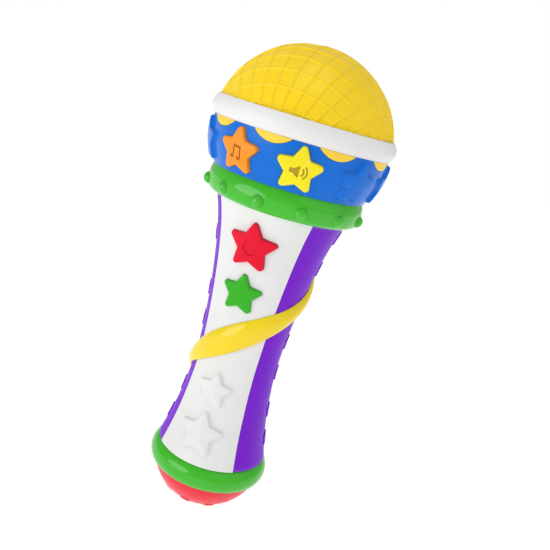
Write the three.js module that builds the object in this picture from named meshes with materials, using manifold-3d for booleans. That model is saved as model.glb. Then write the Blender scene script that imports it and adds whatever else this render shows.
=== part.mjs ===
// Toy microphone: a hand-held singing toy with a domed head, a waisted handle and star-shaped buttons.
// Millimetres. +Z runs up the handle to the dome, the button side faces -Y, and the flat foot is at z = 0.
import * as THREE from 'three';
import { mergeVertices } from 'three/addons/utils/BufferGeometryUtils.js';
import Module from 'manifold-3d';

const wasm = await Module();
wasm.setup();
const { Manifold, Mesh: SolidMesh } = wasm;

// ---------------------------------------------------------------- driving dimensions
const TOTAL_HEIGHT = 203;
const DOME_RADIUS = 37.15;
const FOOT_RADIUS = 12.64;
const GAP = 0.3;
const WALL = 2.2;
const AROUND = 36;
const STEP = (2 * Math.PI) / AROUND;

const radians = (degrees) => (degrees * Math.PI) / 180;

const DOME_CENTRE = TOTAL_HEIGHT - DOME_RADIUS;
const RIM_BOTTOM = 166.8;
const RIM_TOP = 174.8;
const RIM_SEAT = RIM_TOP - 2.4;
const RIM_BULGE = { middle: 170.6, radius: 38.3, curve: 7 };
const RIM_INSIDE = 33.9;
const RIM_LIP = 36.8;
const HEAD_BOTTOM = 147.9;
const HEAD_HOLE = 20;
const COLLAR_BOTTOM = 137;
const COLLAR_BULGE = { middle: 142.8, radius: 32.9, curve: 10 };
const COLLAR_BUMP = { count: 12, radius: 2.5, height: 141.2, middle: 32.1 };
const HANDLE_BOTTOM = 24.4;
const BASE_RING_BOTTOM = 14.4;
const BASE_BULGE = { middle: 18.6, radius: 26.6, curve: 6.6 };
const CAP_RADIUS = 25.2;
const CAP_CENTRE = Math.sqrt(CAP_RADIUS ** 2 - FOOT_RADIUS ** 2);
const CAP_DOT = { radius: 2.4, squash: 0.27, height: 1.9 };
const SPIGOT_TOP = 19.6;

// Handle outline, as height and radius pairs from the base ring up to the collar.
const HANDLE_PROFILE = [
  [24.4, 24.4], [32, 22.5], [41, 20.7], [53, 19.1], [66, 18.2],
  [80, 18.5], [94, 19.6], [107, 21.1], [119, 23], [129, 25.2], [137, 27.7],
];
// Outline of the blue band of the head.
const HEAD_PROFILE = [
  [147.9, 32.1], [149.5, 32.8], [152, 33.8], [155, 34.8], [158, 35.6], [161, 36.1], [164, 36.4], [166.5, 36.4],
];

const PANEL_HALF_ANGLE = radians(46.5);
const GRIP_DEPTH = 1.9;
const GRIP_BACKING = 1.7;

const NECK_RADIUS = 21.3;
const THROAT_RADIUS = 26.9;
const SHELL_BOTTOM = 15.4;
const SHELL_TOP = 147;

const STAR_WAIST = 0.52;
const TIP_FACET = 0.7;
const HEAD_STAR = { radius: 9, proud: 1.6, round: 1.3 };
const HEAD_STAR_HEIGHT = 156.8;
const HEAD_SPACING = radians(40);
const HEAD_INDEXES = [0, 1, 2, 3, 4, 5, 6, 7, 8];
const SPOT = { radius: 10.6, height: RIM_BOTTOM + 7.3, proud: 0.25 };
const MUSIC_AZIMUTH = -HEAD_SPACING / 2;
const VOLUME_AZIMUTH = HEAD_SPACING / 2;
const RED_STAR = { radius: 10.3, proud: 1.8, round: 1.2 };
const RED_STAR_HEIGHT = 121.9;
const GREEN_STAR = { radius: 8.6, proud: 1.6, round: 1.1 };
const GREEN_STAR_HEIGHT = 101.5;
const WHITE_STARS = [{ height: 57.3, radius: 7.4, round: 0.9 }, { height: 37.5, radius: 9.6, round: 1 }];
const BUTTON_DEPTH = 3.9;
const FLANGE_SHARE = 0.8;
const BUTTON_TRAVEL = 1.5;
const POST_RADIUS = 2;
const HANDLE_POST = 9.2;
const GREEN_POST = 7;
const HEAD_POST = 9;
const SWITCH = { width: 6, depth: 2.4, plunger: 1.7, throw: 1.6 };

// A column of small raised stars runs down each side grip, except where the ribbon passes.
const GRIP_STAR = { radius: 3.6, round: 0.8, low: -0.8, high: 0.5 };
const LEFT_GRIP_STARS = { azimuth: radians(-76), heights: [119, 95, 81, 49, 34.5] };
const RIGHT_GRIP_STARS = { azimuth: radians(104), heights: [131, 116, 81, 66, 48, 34.5] };

// The ribbon climbs steadily over the front, sags at the sides, and climbs faster past each bend.
const RIBBON_MIDDLE = 80.8;
const RIBBON_RISE = 13;
const RIBBON_BEND = radians(110);
const RIBBON_CLIMB = 2.4;
const RIBBON_END = radians(220);
const RIBBON_HALF_WIDTH = 6.8;
const RIBBON_TAPER = 0.34;
const RIBBON_SAG = 0.9;
const RIBBON_THICKNESS = 2;

const CELL_RADIUS = 5.25;
const CELL_LENGTH = 44.5;
const CELL_X = 5.45;
const CELL_Y = 5;
const CELL_NUB = { radius: 1.9, height: 0.9 };
const CELL_FLOOR = 60.8;
const SPRING = { height: 2.6, wide: 3.2, narrow: 1.6, turns: 2.5, wire: 0.27 };
const CELL_TOP = CELL_FLOOR + SPRING.height + CELL_LENGTH + 3 * GAP;
const PLATE = { thickness: 0.4, depth: 7.4 };
const DOOR_BOTTOM = 54.5;
const DOOR_TOP = 106;
const DOOR_HALF_ANGLE = radians(38);
const DOOR_SCREW_HEIGHT = 58.2;
const DOOR_BOSS = 3.2;
const DOOR_STEP = 10;

// Case screws: azimuth and height on the rear panel, clear of the ribbon and the battery door.
const CASE_SCREWS = [[155, 130.6], [205, 114.9], [205, 31], [155, 46.6]];
const CASE_POST = 3.6;
const SCREW = { head: 2.3, shaft: 1.1, sink: 0.7, headHeight: 1.5, length: 7 };

// Flat-sided pieces inside, as their size and the middle they stand at.
const TUB_DIVIDER = { size: [40, 1.6, 58], middle: [0, -1.6, 82] };
const TUB_RIB = { size: [1, 2.2, 30], middle: [0, -0.2, 83] };
const TUB_FLOOR = { size: [40, 20, 7.2], middle: [0, 7.6, 56.6] };
const TUB_CEILING = { size: [40, 20, 1.2], middle: [0, 7.6, 110] };
const TUB_ENDS = [50, 112];
const MAIN_BOARD = { size: [22, 1.6, 50], middle: [0, -6.2, 113] };
const SOUND_CHIP = { size: [7, 1.4, 7], middle: [0, -7.9, 131] };
const HEAD_BOARD = { size: [30, 1.6, 11], middle: [0, -16.6, 157] };

// ---------------------------------------------------------------- colours
const COLOURS = {
  dome: [0xf8cf2e, 0.5], white: [0xeeeeec, 0.45], blue: [0x1f6fdc, 0.4], green: [0x49b83a, 0.4],
  spot: [0xf9c846, 0.45], purple: [0x7526c4, 0.45], ribbon: [0xf4ca2a, 0.4], red: [0xe8223f, 0.4],
  cap: [0xea4252, 0.45], orange: [0xf28c28, 0.4], yellow: [0xf4e91c, 0.4], board: [0x1d6b3a, 0.6],
  black: [0x1b1b1d, 0.5], grey: [0x8f9296, 0.6], paper: [0x2a2a2c, 0.85],
};
const METALS = { steel: [0xb8bcc0, 0.35], zinc: [0xc9ccd0, 0.3], cell: [0x9a7b3c, 0.35] };

const group = new THREE.Group();
group.name = 'toy_microphone';

function addPart(name, geometry, colourName) {
  const metal = METALS[colourName];
  const [colour, roughness] = metal ?? COLOURS[colourName];
  const material = new THREE.MeshStandardMaterial({ color: colour, roughness, metalness: metal ? 1 : 0 });
  material.name = colourName;
  const mesh = new THREE.Mesh(geometry, material);
  mesh.name = name;
  group.add(mesh);
}

// ---------------------------------------------------------------- solid helpers
function fromTriangles(positions, triangles) {
  const geometry = new THREE.BufferGeometry();
  geometry.setAttribute('position', new THREE.Float32BufferAttribute(positions, 3));
  geometry.setIndex(triangles);
  geometry.computeVertexNormals();
  return geometry;
}

// Drops everything but positions and joins the seams, then turns the surface to face outwards.
function closed(geometry) {
  const bare = new THREE.BufferGeometry();
  bare.setAttribute('position', geometry.getAttribute('position').clone());
  if (geometry.index) bare.setIndex(Array.from(geometry.index.array));
  const merged = mergeVertices(bare, 1e-4);
  const points = merged.getAttribute('position');
  const source = merged.index.array;
  const corner = (i) => new THREE.Vector3().fromBufferAttribute(points, i);
  const kept = [];
  let volume = 0;
  for (let i = 0; i < source.length; i += 3) {
    const [a, b, c] = [source[i], source[i + 1], source[i + 2]];
    if (a === b || b === c || a === c) continue;
    kept.push(a, b, c);
    volume += corner(a).dot(corner(b).cross(corner(c)));
  }
  if (volume < 0) kept.reverse();
  return fromTriangles(Array.from(points.array), kept);
}

function toSolid(geometry) {
  const skin = closed(geometry);
  return new Manifold(new SolidMesh({
    numProp: 3,
    vertProperties: new Float32Array(skin.getAttribute('position').array),
    triVerts: new Uint32Array(skin.index.array),
  }));
}

function toGeometry(solid) {
  const mesh = solid.getMesh();
  return closed(fromTriangles(Array.from(mesh.vertProperties), Array.from(mesh.triVerts)));
}

const join = (...geometries) => toGeometry(Manifold.union(geometries.map(toSolid)));
const cut = (body, ...tools) => toGeometry(toSolid(body).subtract(Manifold.union(tools.map(toSolid))));
const common = (first, second) => toGeometry(toSolid(first).intersect(toSolid(second)));

// Turns a closed [radius, height] outline about the Z axis.
function turned(outline, segments = AROUND) {
  const points = outline.map(([radius, height]) => new THREE.Vector2(radius, height));
  const onAxis = outline[0][0] === 0 && outline.at(-1)[0] === 0;
  if (!onAxis) points.push(points[0].clone());
  return closed(new THREE.LatheGeometry(points, segments).rotateX(Math.PI / 2));
}

// Azimuth 0 is the front (-Y) and grows towards +X.
function polar(azimuth, radius, height) {
  return new THREE.Vector3(radius * Math.sin(azimuth), -radius * Math.cos(azimuth), height);
}

function range(first, last, step) {
  const count = Math.max(1, Math.round((last - first) / step));
  return Array.from({ length: count + 1 }, (_, i) => first + ((last - first) * i) / count);
}

function along(profile, height) {
  if (height <= profile[0][0]) return profile[0][1];
  for (let i = 1; i < profile.length; i += 1) {
    const [h0, r0] = profile[i - 1];
    const [h1, r1] = profile[i];
    if (height <= h1) return r0 + ((r1 - r0) * (height - h0)) / (h1 - h0);
  }
  return profile.at(-1)[1];
}
const handleRadius = (height) => along(HANDLE_PROFILE, height);
const headRadius = (height) => along(HEAD_PROFILE, height);

// Solid between two radial surfaces, over a run of azimuths and heights.
function sector(azimuths, heights, outer, inner) {
  const positions = [];
  const triangles = [];
  const rows = heights.length;
  const index = (side, i, j) => (side * azimuths.length + i) * rows + j;
  for (const surface of [outer, inner]) {
    for (const azimuth of azimuths) {
      for (const height of heights) positions.push(...polar(azimuth, surface(azimuth, height), height));
    }
  }
  const quad = (a, b, c, d) => triangles.push(a, b, c, a, c, d);
  const last = azimuths.length - 1;
  const top = rows - 1;
  for (let i = 0; i < last; i += 1) {
    for (let j = 0; j < top; j += 1) {
      quad(index(0, i, j), index(0, i + 1, j), index(0, i + 1, j + 1), index(0, i, j + 1));
      quad(index(1, i, j), index(1, i, j + 1), index(1, i + 1, j + 1), index(1, i + 1, j));
    }
    quad(index(0, i, top), index(0, i + 1, top), index(1, i + 1, top), index(1, i, top));
    quad(index(0, i, 0), index(1, i, 0), index(1, i + 1, 0), index(0, i + 1, 0));
  }
  for (let j = 0; j < top; j += 1) {
    quad(index(0, 0, j), index(0, 0, j + 1), index(1, 0, j + 1), index(1, 0, j));
    quad(index(0, last, j), index(1, last, j), index(1, last, j + 1), index(0, last, j + 1));
  }
  return closed(fromTriangles(positions, triangles));
}

function box({ size, middle }) {
  return new THREE.BoxGeometry(...size).translate(...middle);
}

// Radius, at a height, of a wall that bulges out as an arc.
function bulge({ middle, radius, curve }, height) {
  return radius - curve + Math.sqrt(curve ** 2 - (height - middle) ** 2);
}

function rod(radius, bottom, top, segments = 12) {
  return turned([[0, bottom], [radius, bottom], [radius, top], [0, top]], segments);
}

// ---------------------------------------------------------------- stars
// Five rounded tips, one of them pointing up the Y axis.
function starShape(radius, round) {
  const half = Math.atan2(STAR_WAIST * Math.sin(radians(36)), 1 - STAR_WAIST * Math.cos(radians(36)));
  const sharp = radius + round * (1 / Math.sin(half) - 1);
  const centre = sharp - round / Math.sin(half);
  const sweep = Math.PI / 2 - half;
  const shape = new THREE.Shape();
  const points = [];
  for (let tip = 0; tip < 5; tip += 1) {
    const angle = radians(90 + 72 * tip);
    for (const turn of [-sweep * TIP_FACET, sweep * TIP_FACET]) {
      points.push(new THREE.Vector2(
        centre * Math.cos(angle) + round * Math.cos(angle + turn),
        centre * Math.sin(angle) + round * Math.sin(angle + turn),
      ));
    }
    const valley = angle + radians(36);
    points.push(new THREE.Vector2(Math.cos(valley), Math.sin(valley)).multiplyScalar(sharp * STAR_WAIST));
  }
  shape.setFromPoints(points);
  return shape;
}

// Frame standing on a turned wall: X around it, Y up its slope, Z straight out of it.
function wallFrame(azimuth, height, wall) {
  const reach = 1.5;
  const lean = Math.atan((wall(height + reach) - wall(height - reach)) / (2 * reach));
  const outward = polar(azimuth, Math.cos(lean), -Math.sin(lean));
  const upward = polar(azimuth, Math.sin(lean), Math.cos(lean));
  const around = new THREE.Vector3().crossVectors(upward, outward);
  const frame = new THREE.Matrix4().makeBasis(around, upward, outward);
  return frame.setPosition(polar(azimuth, wall(height), height));
}

function prism(shape, low, high) {
  const settings = { depth: high - low, bevelEnabled: false, curveSegments: 9 };
  const geometry = new THREE.ExtrudeGeometry(shape, settings);
  return geometry.translate(0, 0, low);
}

// How far a wall lies behind its own frame at a sideways and an upward offset.
function wallDrop(frame, wall, x, y) {
  const point = new THREE.Vector3();
  let drop = 0;
  for (let pass = 0; pass < 5; pass += 1) {
    point.set(x, y, drop).applyMatrix4(frame);
    drop += wall(point.z) - Math.hypot(point.x, point.y);
  }
  return drop;
}

// A straight-sided prism whose two faces follow the curve of the wall it stands on.
function draped(shape, azimuth, height, wall, low, high) {
  const frame = wallFrame(azimuth, height, wall);
  const geometry = closed(prism(shape, low, high));
  const points = geometry.getAttribute('position');
  for (let i = 0; i < points.count; i += 1) {
    points.setZ(i, points.getZ(i) + wallDrop(frame, wall, points.getX(i), points.getY(i)));
  }
  return geometry.applyMatrix4(frame);
}

function starOnWall({ azimuth, height, wall, radius, round, low, high }) {
  return draped(starShape(radius, round), azimuth, height, wall, low, high);
}

function starHole(azimuth, height, wall, star) {
  const hole = prism(starShape(star.radius + GAP, star.round), -2 * BUTTON_DEPTH, star.proud + 2);
  return hole.applyMatrix4(wallFrame(azimuth, height, wall));
}

// Star button. A round flange behind the wall catches between its tips, and a post reaches for its switch.
function starButton(azimuth, height, wall, star, postLength) {
  const face = starOnWall({ azimuth, height, wall, ...star, low: -BUTTON_DEPTH, high: star.proud });
  const disc = new THREE.Shape().absarc(0, 0, star.radius * FLANGE_SHARE, 0, 2 * Math.PI);
  const flange = draped(disc, azimuth, height, wall, -BUTTON_DEPTH, -WALL - 2 * GAP);
  const post = rod(POST_RADIUS, -postLength, -BUTTON_DEPTH + 1).applyMatrix4(wallFrame(azimuth, height, wall));
  return join(face, flange, post);
}

// Push switch: a square body and a round plunger, standing behind a button's post.
function pushSwitch(azimuth, height, wall, postLength) {
  const plungerTop = -postLength - BUTTON_TRAVEL - GAP;
  const bodyTop = plungerTop - SWITCH.throw;
  const body = box({
    size: [SWITCH.width, SWITCH.width, SWITCH.depth], middle: [0, 0, bodyTop - SWITCH.depth / 2] });
  const plunger = rod(SWITCH.plunger, bodyTop - SWITCH.depth / 2, plungerTop);
  return join(body, plunger).applyMatrix4(wallFrame(azimuth, height, wall));
}

// ---------------------------------------------------------------- head
function dome() {
  const bottom = RIM_TOP - 2.1;
  const start = Math.asin((bottom - DOME_CENTRE) / DOME_RADIUS);
  const inside = DOME_RADIUS - WALL;
  const innerStart = Math.asin((bottom - DOME_CENTRE) / inside);
  const outline = range(start, Math.PI / 2, radians(10)).map((angle) => (
    [DOME_RADIUS * Math.cos(angle), DOME_CENTRE + DOME_RADIUS * Math.sin(angle)]));
  const lining = range(Math.PI / 2, innerStart, radians(-15)).map((angle) => (
    [inside * Math.cos(angle), DOME_CENTRE + inside * Math.sin(angle)]));
  outline.at(-1)[0] = 0;
  lining[0][0] = 0;
  // The outline starts and ends on the axis, so it runs from the outer pole round to the inner pole.
  return turned([...outline.reverse(), ...lining.reverse()]);
}

function rimRing() {
  const heights = range(RIM_BOTTOM + 0.2, RIM_TOP - 0.2, 1.3);
  const outside = heights.map((height) => [bulge(RIM_BULGE, height), height]);
  return turned([
    [RIM_INSIDE, RIM_BOTTOM], [RIM_LIP, RIM_BOTTOM], ...outside, [RIM_LIP, RIM_TOP], [RIM_LIP, RIM_SEAT],
    [RIM_INSIDE, RIM_SEAT],
  ]);
}

function spotPrism(index, radius) {
  const disc = prism(new THREE.Shape().absarc(0, 0, radius, 0, 2 * Math.PI), -9, 3);
  const frame = wallFrame(index * HEAD_SPACING, SPOT.height, () => headRadius(RIM_BOTTOM));
  return disc.applyMatrix4(frame);
}

function headBand() {
  const outer = HEAD_PROFILE.map(([height, radius]) => [radius, height]);
  const inner = outer.slice(1).reverse().map(([radius, height]) => [radius - WALL, height]);
  const floor = HEAD_BOTTOM + 2;
  const shell = turned([
    [HEAD_HOLE, HEAD_BOTTOM], ...outer, ...inner.slice(0, -1), [inner.at(-1)[0], floor], [HEAD_HOLE, floor]]);
  const stars = HEAD_INDEXES.slice(1, 8).map((index) => starOnWall({
    azimuth: VOLUME_AZIMUTH + index * HEAD_SPACING, height: HEAD_STAR_HEIGHT, wall: headRadius,
    ...HEAD_STAR, low: -1, high: HEAD_STAR.proud,
  }));
  const notches = HEAD_INDEXES.map((index) => spotPrism(index, SPOT.radius + GAP));
  const holes = [MUSIC_AZIMUTH, VOLUME_AZIMUTH].map((azimuth) => (
    starHole(azimuth, HEAD_STAR_HEIGHT, headRadius, HEAD_STAR)));
  return cut(join(shell, ...stars), ...holes, ...notches);
}

function spotRing() {
  const top = RIM_BOTTOM - GAP;
  const bottom = top - 2.2;
  const hoopRadius = headRadius(top) - BUTTON_DEPTH - BUTTON_TRAVEL - 2 * GAP;
  const hoop = turned([
    [hoopRadius - 1.6, bottom], [hoopRadius, bottom], [hoopRadius, top], [hoopRadius - 1.6, top]]);
  const face = headRadius(top) + SPOT.proud;
  const skin = turned([
    [hoopRadius - 0.8, bottom + 0.2], [headRadius(top) - WALL - GAP, bottom - 2], [face, bottom - 2],
    [face, top], [hoopRadius - 0.8, top],
  ]);
  const lobes = HEAD_INDEXES.map((index) => common(spotPrism(index, SPOT.radius), skin));
  return join(hoop, ...lobes);
}

function collarRing() {
  const inner = THROAT_RADIUS + GAP;
  const bottom = COLLAR_BOTTOM + GAP;
  const top = HEAD_BOTTOM - GAP;
  const outside = range(bottom + 1.6, top, 1.7).map((height) => [bulge(COLLAR_BULGE, height), height]);
  const { count, radius, height, middle } = COLLAR_BUMP;
  const bumps = range(0, count - 1, 1).map((index) => {
    const bump = new THREE.SphereGeometry(radius, 8, 6);
    return bump.translate(...polar(radians((360 / count) * index), middle, height));
  });
  const ring = turned([[inner, bottom], [29.8, bottom], [31.3, bottom + 0.6], ...outside, [inner, top]]);
  return join(ring, ...bumps);
}

// ---------------------------------------------------------------- handle
// Steps the wall in behind the side grips, between the front and rear panels.
function inGripZone(azimuth) {
  const fromPanel = Math.abs(Math.abs(azimuth) - Math.PI / 2);
  return fromPanel < Math.PI / 2 - PANEL_HALF_ANGLE;
}

function shellOuter(azimuth, height) {
  if (height < HANDLE_BOTTOM) return NECK_RADIUS;
  if (height > COLLAR_BOTTOM) return THROAT_RADIUS - (inGripZone(azimuth) ? 1.2 : 0);
  return handleRadius(height) - (inGripZone(azimuth) ? GRIP_DEPTH : 0);
}

function shellInner(azimuth, height) {
  if (height < HANDLE_BOTTOM) return NECK_RADIUS - WALL;
  if (height > COLLAR_BOTTOM) return THROAT_RADIUS - WALL - GRIP_BACKING;
  return handleRadius(height) - (inGripZone(azimuth) ? GRIP_DEPTH + GRIP_BACKING : WALL);
}

// Half of the handle, with its seam under the side grips. Facing is 0 for the front, PI for the rear.
function halfShell(facing) {
  const seam = Math.PI / 2 - 0.006;
  const edge = PANEL_HALF_ANGLE;
  const sliver = 0.002;
  const local = [
    -seam, ...range(radians(-80), radians(-50), STEP), -edge - sliver, -edge + sliver,
    ...range(radians(-40), radians(40), STEP), edge - sliver, edge + sliver,
    ...range(radians(50), radians(80), STEP), seam,
  ];
  const heights = [
    SHELL_BOTTOM, HANDLE_BOTTOM - 0.01, HANDLE_BOTTOM,
    ...HANDLE_PROFILE.slice(1, -1).map(([height]) => height),
    COLLAR_BOTTOM, COLLAR_BOTTOM + 0.01, SHELL_TOP,
  ];
  return sector(local, heights, shellOuter, shellInner).rotateZ(facing);
}

// The front half has two star holes, and below the ribbon two raised stars.
function frontShell() {
  const shell = cut(
    halfShell(0),
    starHole(0, RED_STAR_HEIGHT, handleRadius, RED_STAR),
    starHole(0, GREEN_STAR_HEIGHT, handleRadius, GREEN_STAR),
  );
  const stars = WHITE_STARS.map((star) => (
    starOnWall({ azimuth: 0, wall: handleRadius, low: -0.6, high: 1.5, ...star })));
  return join(shell, ...stars);
}

function screwPlace([degrees, height]) {
  return polar(radians(degrees), handleRadius(height), height);
}

// A rod along +Y at a screw's place, from one depth below the wall to another.
function screwRod(place, radius, from, to, segments = 12) {
  const span = rod(radius, from, to, segments).rotateX(-Math.PI / 2);
  return span.translate(place.x, place.y, place.z);
}

function rearShell() {
  const places = CASE_SCREWS.map(screwPlace);
  const posts = places.map((place) => screwRod(place, CASE_POST, -10, -2.6));
  const bores = places.map((place) => screwRod(place, SCREW.shaft + GAP, -9, 4));
  const sinks = places.map((place) => (
    screwRod(place, SCREW.head + GAP, -SCREW.sink - SCREW.headHeight - GAP, 4)));
  const openingHalfAngle = DOOR_HALF_ANGLE + 0.016;
  const opening = sector(
    range(Math.PI - openingHalfAngle, Math.PI + openingHalfAngle, STEP * 0.5),
    range(DOOR_BOTTOM - GAP, DOOR_TOP + GAP, DOOR_STEP),
    (_, height) => handleRadius(height) + 3,
    (_, height) => handleRadius(height) - 6,
  );
  return cut(join(halfShell(Math.PI), ...posts), opening, ...bores, ...sinks);
}

function screw(place) {
  const top = -SCREW.sink;
  const under = top - SCREW.headHeight;
  const head = screwRod(place, SCREW.head, under, top);
  const shaft = screwRod(place, SCREW.shaft, top - SCREW.length, under + 0.2, 8);
  const slot = (width, height) => (
    box({ size: [width, 1.6, height], middle: [place.x, place.y + top, place.z] }));
  return cut(join(head, shaft), slot(2.8, 0.6), slot(0.6, 2.8));
}

function ribbonHeight(azimuth) {
  const past = Math.max(0, Math.abs(azimuth) - RIBBON_BEND);
  const climb = RIBBON_RISE * azimuth + Math.sign(azimuth) * RIBBON_CLIMB * past ** 2;
  return RIBBON_MIDDLE + climb - RIBBON_SAG * Math.sin(azimuth) ** 2;
}

function ribbonHalfWidth(azimuth) {
  return RIBBON_HALF_WIDTH * (1 - RIBBON_TAPER * Math.sin(azimuth) ** 2);
}

function sideGrip(side, column) {
  const inset = 0.018;
  const first = PANEL_HALF_ANGLE + inset;
  const last = Math.PI - first;
  const azimuths = [first, ...range(radians(50), radians(130), STEP), last].map((azimuth) => azimuth * side);
  const heights = HANDLE_PROFILE.map(([height]) => height);
  heights[0] += GAP;
  heights[heights.length - 1] -= GAP;
  const skin = sector(
    azimuths.sort((a, b) => a - b),
    heights,
    (_, height) => handleRadius(height),
    (_, height) => handleRadius(height) - GRIP_DEPTH + GAP,
  );
  const stars = column.heights.map((height) => (
    starOnWall({ azimuth: column.azimuth, height, wall: handleRadius, ...GRIP_STAR })));
  return join(skin, ...stars);
}

// Soft ribbon winding once round the handle from the base ring to the collar.
function spiralRibbon() {
  const lowest = HANDLE_BOTTOM + GAP;
  const highest = COLLAR_BOTTOM - GAP;
  const azimuths = range(-RIBBON_END, RIBBON_END, STEP);
  const across = [-1, -0.7, 0, 0.7, 1];
  const positions = [];
  const triangles = [];
  const ring = across.length * 2;
  for (const azimuth of azimuths) {
    const middle = ribbonHeight(azimuth);
    const edge = (t) => THREE.MathUtils.clamp(middle + t * ribbonHalfWidth(azimuth), lowest, highest);
    for (const t of across) {
      const height = edge(t);
      const rise = RIBBON_THICKNESS * Math.sqrt(1 - 0.82 * t * t);
      positions.push(...polar(azimuth, handleRadius(height) + GAP + rise, height));
    }
    for (const t of [...across].reverse()) {
      const height = edge(t);
      positions.push(...polar(azimuth, handleRadius(height) + GAP, height));
    }
  }
  const quad = (a, b, c, d) => triangles.push(a, b, c, a, c, d);
  for (let i = 0; i < azimuths.length - 1; i += 1) {
    for (let j = 0; j < ring; j += 1) {
      const k = (j + 1) % ring;
      quad(i * ring + j, (i + 1) * ring + j, (i + 1) * ring + k, i * ring + k);
    }
  }
  for (let j = 0; j < across.length - 1; j += 1) {
    const far = (azimuths.length - 1) * ring;
    const back = ring - 1 - j;
    quad(j, j + 1, back - 1, back);
    quad(far + j, far + back, far + back - 1, far + j + 1);
  }
  return closed(fromTriangles(positions, triangles));
}

function baseRing() {
  const inner = NECK_RADIUS + GAP;
  const top = HANDLE_BOTTOM - GAP;
  const heights = range(BASE_RING_BOTTOM + 0.5, top - 0.3, 1.3);
  const outside = heights.map((height) => [bulge(BASE_BULGE, height), height]);
  return turned([[inner, BASE_RING_BOTTOM], [24.4, BASE_RING_BOTTOM], ...outside, [23.4, top], [inner, top]]);
}

function baseCap() {
  const top = BASE_RING_BOTTOM - GAP;
  const inside = CAP_RADIUS - WALL;
  const spigot = NECK_RADIUS - WALL - GAP;
  const sphere = (radius, height) => Math.sqrt(radius ** 2 - (height - CAP_CENTRE) ** 2);
  const outside = [0, 2, 4.5, 7.5, 10.8, top].map((height) => [sphere(CAP_RADIUS, height), height]);
  const lining = [top, 10.8, 7.5, 4.5, WALL].map((height) => [sphere(inside, height), height]);
  const shell = turned([
    [0, 0], ...outside, [spigot, top], [spigot, SPIGOT_TOP], [spigot - 2, SPIGOT_TOP], [spigot - 2, top],
    ...lining.slice(1), [0, WALL],
  ]);
  const capWall = (height) => sphere(CAP_RADIUS, height);
  const dots = HEAD_INDEXES.map((index) => {
    const dot = new THREE.SphereGeometry(CAP_DOT.radius, 8, 4).rotateX(Math.PI / 2).scale(1, 1, CAP_DOT.squash);
    return dot.applyMatrix4(wallFrame(index * HEAD_SPACING, CAP_DOT.height, capWall));
  });
  return join(shell, ...dots);
}

// ---------------------------------------------------------------- battery compartment
function batteryDoor() {
  const door = sector(
    range(Math.PI - DOOR_HALF_ANGLE, Math.PI + DOOR_HALF_ANGLE, STEP * 0.5),
    range(DOOR_BOTTOM, DOOR_TOP, DOOR_STEP),
    (_, height) => handleRadius(height),
    (_, height) => handleRadius(height) - WALL,
  );
  const place = polar(Math.PI, handleRadius(DOOR_SCREW_HEIGHT), DOOR_SCREW_HEIGHT);
  const boss = screwRod(place, DOOR_BOSS, -4.2, -1);
  const bore = screwRod(place, SCREW.shaft + GAP, -6, 4);
  const sink = screwRod(place, SCREW.head + GAP, -SCREW.sink - SCREW.headHeight - GAP, 4);
  return cut(join(door, boss), bore, sink);
}

// Tub behind the door: a divider and two end walls, trimmed to the inside of the handle.
function batteryBox() {
  const [bottom, top] = TUB_ENDS;
  const inside = (height) => handleRadius(height) - GRIP_DEPTH - GRIP_BACKING - GAP;
  const wall = range(bottom, top, 7).map((height) => [inside(height), height]);
  const room = turned([[0, bottom], ...wall, [0, top]]);
  const place = polar(Math.PI, handleRadius(DOOR_SCREW_HEIGHT), DOOR_SCREW_HEIGHT);
  const bossRoom = screwRod(place, DOOR_BOSS + GAP, -4.5, 4);
  const bore = screwRod(place, SCREW.shaft + GAP, -10, 4);
  const walls = join(...[TUB_DIVIDER, TUB_RIB, TUB_FLOOR, TUB_CEILING].map(box));
  return cut(common(walls, room), bossRoom, bore);
}

function cell(x, upright) {
  const rim = CELL_RADIUS - 0.4;
  const shoulder = CELL_LENGTH - CELL_NUB.height;
  const shape = turned([
    [0, 0], [rim, 0], [CELL_RADIUS, 0.4], [CELL_RADIUS, shoulder - 0.4], [rim, shoulder],
    [CELL_NUB.radius, shoulder], [CELL_NUB.radius, CELL_LENGTH], [0, CELL_LENGTH],
  ], 24);
  if (!upright) shape.rotateX(Math.PI).translate(0, 0, CELL_LENGTH);
  const floor = upright ? CELL_FLOOR + SPRING.height + 2 * GAP : CELL_FLOOR + GAP;
  return shape.translate(x, CELL_Y, floor);
}

function contactPlate(x, width, height) {
  const { thickness, depth } = PLATE;
  return box({ size: [width, depth, thickness], middle: [x, CELL_Y, height + thickness / 2] });
}

// Conical battery spring, wound from round wire.
function coneSpring(x, bottom, pointsUp) {
  const margin = 0.3;
  class Coil extends THREE.Curve {
    getPoint(t) {
      const radius = THREE.MathUtils.lerp(SPRING.wide, SPRING.narrow, t);
      const angle = 2 * Math.PI * SPRING.turns * t;
      const height = THREE.MathUtils.lerp(margin, SPRING.height - margin, t);
      return new THREE.Vector3(radius * Math.cos(angle), radius * Math.sin(angle), height);
    }
  }
  const wire = new THREE.Shape().absarc(0, 0, SPRING.wire, 0, 2 * Math.PI);
  const spring = new THREE.ExtrudeGeometry(wire, { steps: 24, curveSegments: 3, extrudePath: new Coil() });
  if (!pointsUp) spring.rotateX(Math.PI).translate(0, 0, SPRING.height);
  return closed(spring.translate(x, CELL_Y, bottom));
}

// ---------------------------------------------------------------- loudspeaker
function speakerTray() {
  return turned([[21, 168.4], [33.5, 168.4], [33.5, 170.4], [21, 170.4]]);
}

function speakerFrame() {
  return turned([
    [24, 170.7], [24, 171.7], [19.6, 171.7], [18.6, 170.2], [11.2, 160.6], [5, 160.6], [5, 159.6],
    [12, 159.6], [19.4, 169.4], [20.2, 170.7],
  ], 30);
}

function speakerMagnet() {
  return turned([[0, 150.6], [11, 150.6], [11, 159.3], [0, 159.3]], 30);
}

function speakerCone() {
  return turned([
    [0, 163.4], [4, 163.2], [7, 161.6], [17.4, 171.2], [18.4, 171.9], [18.2, 172.4], [17, 172], [7, 162.4],
    [4.4, 164], [0, 164.2],
  ], 30);
}

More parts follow.
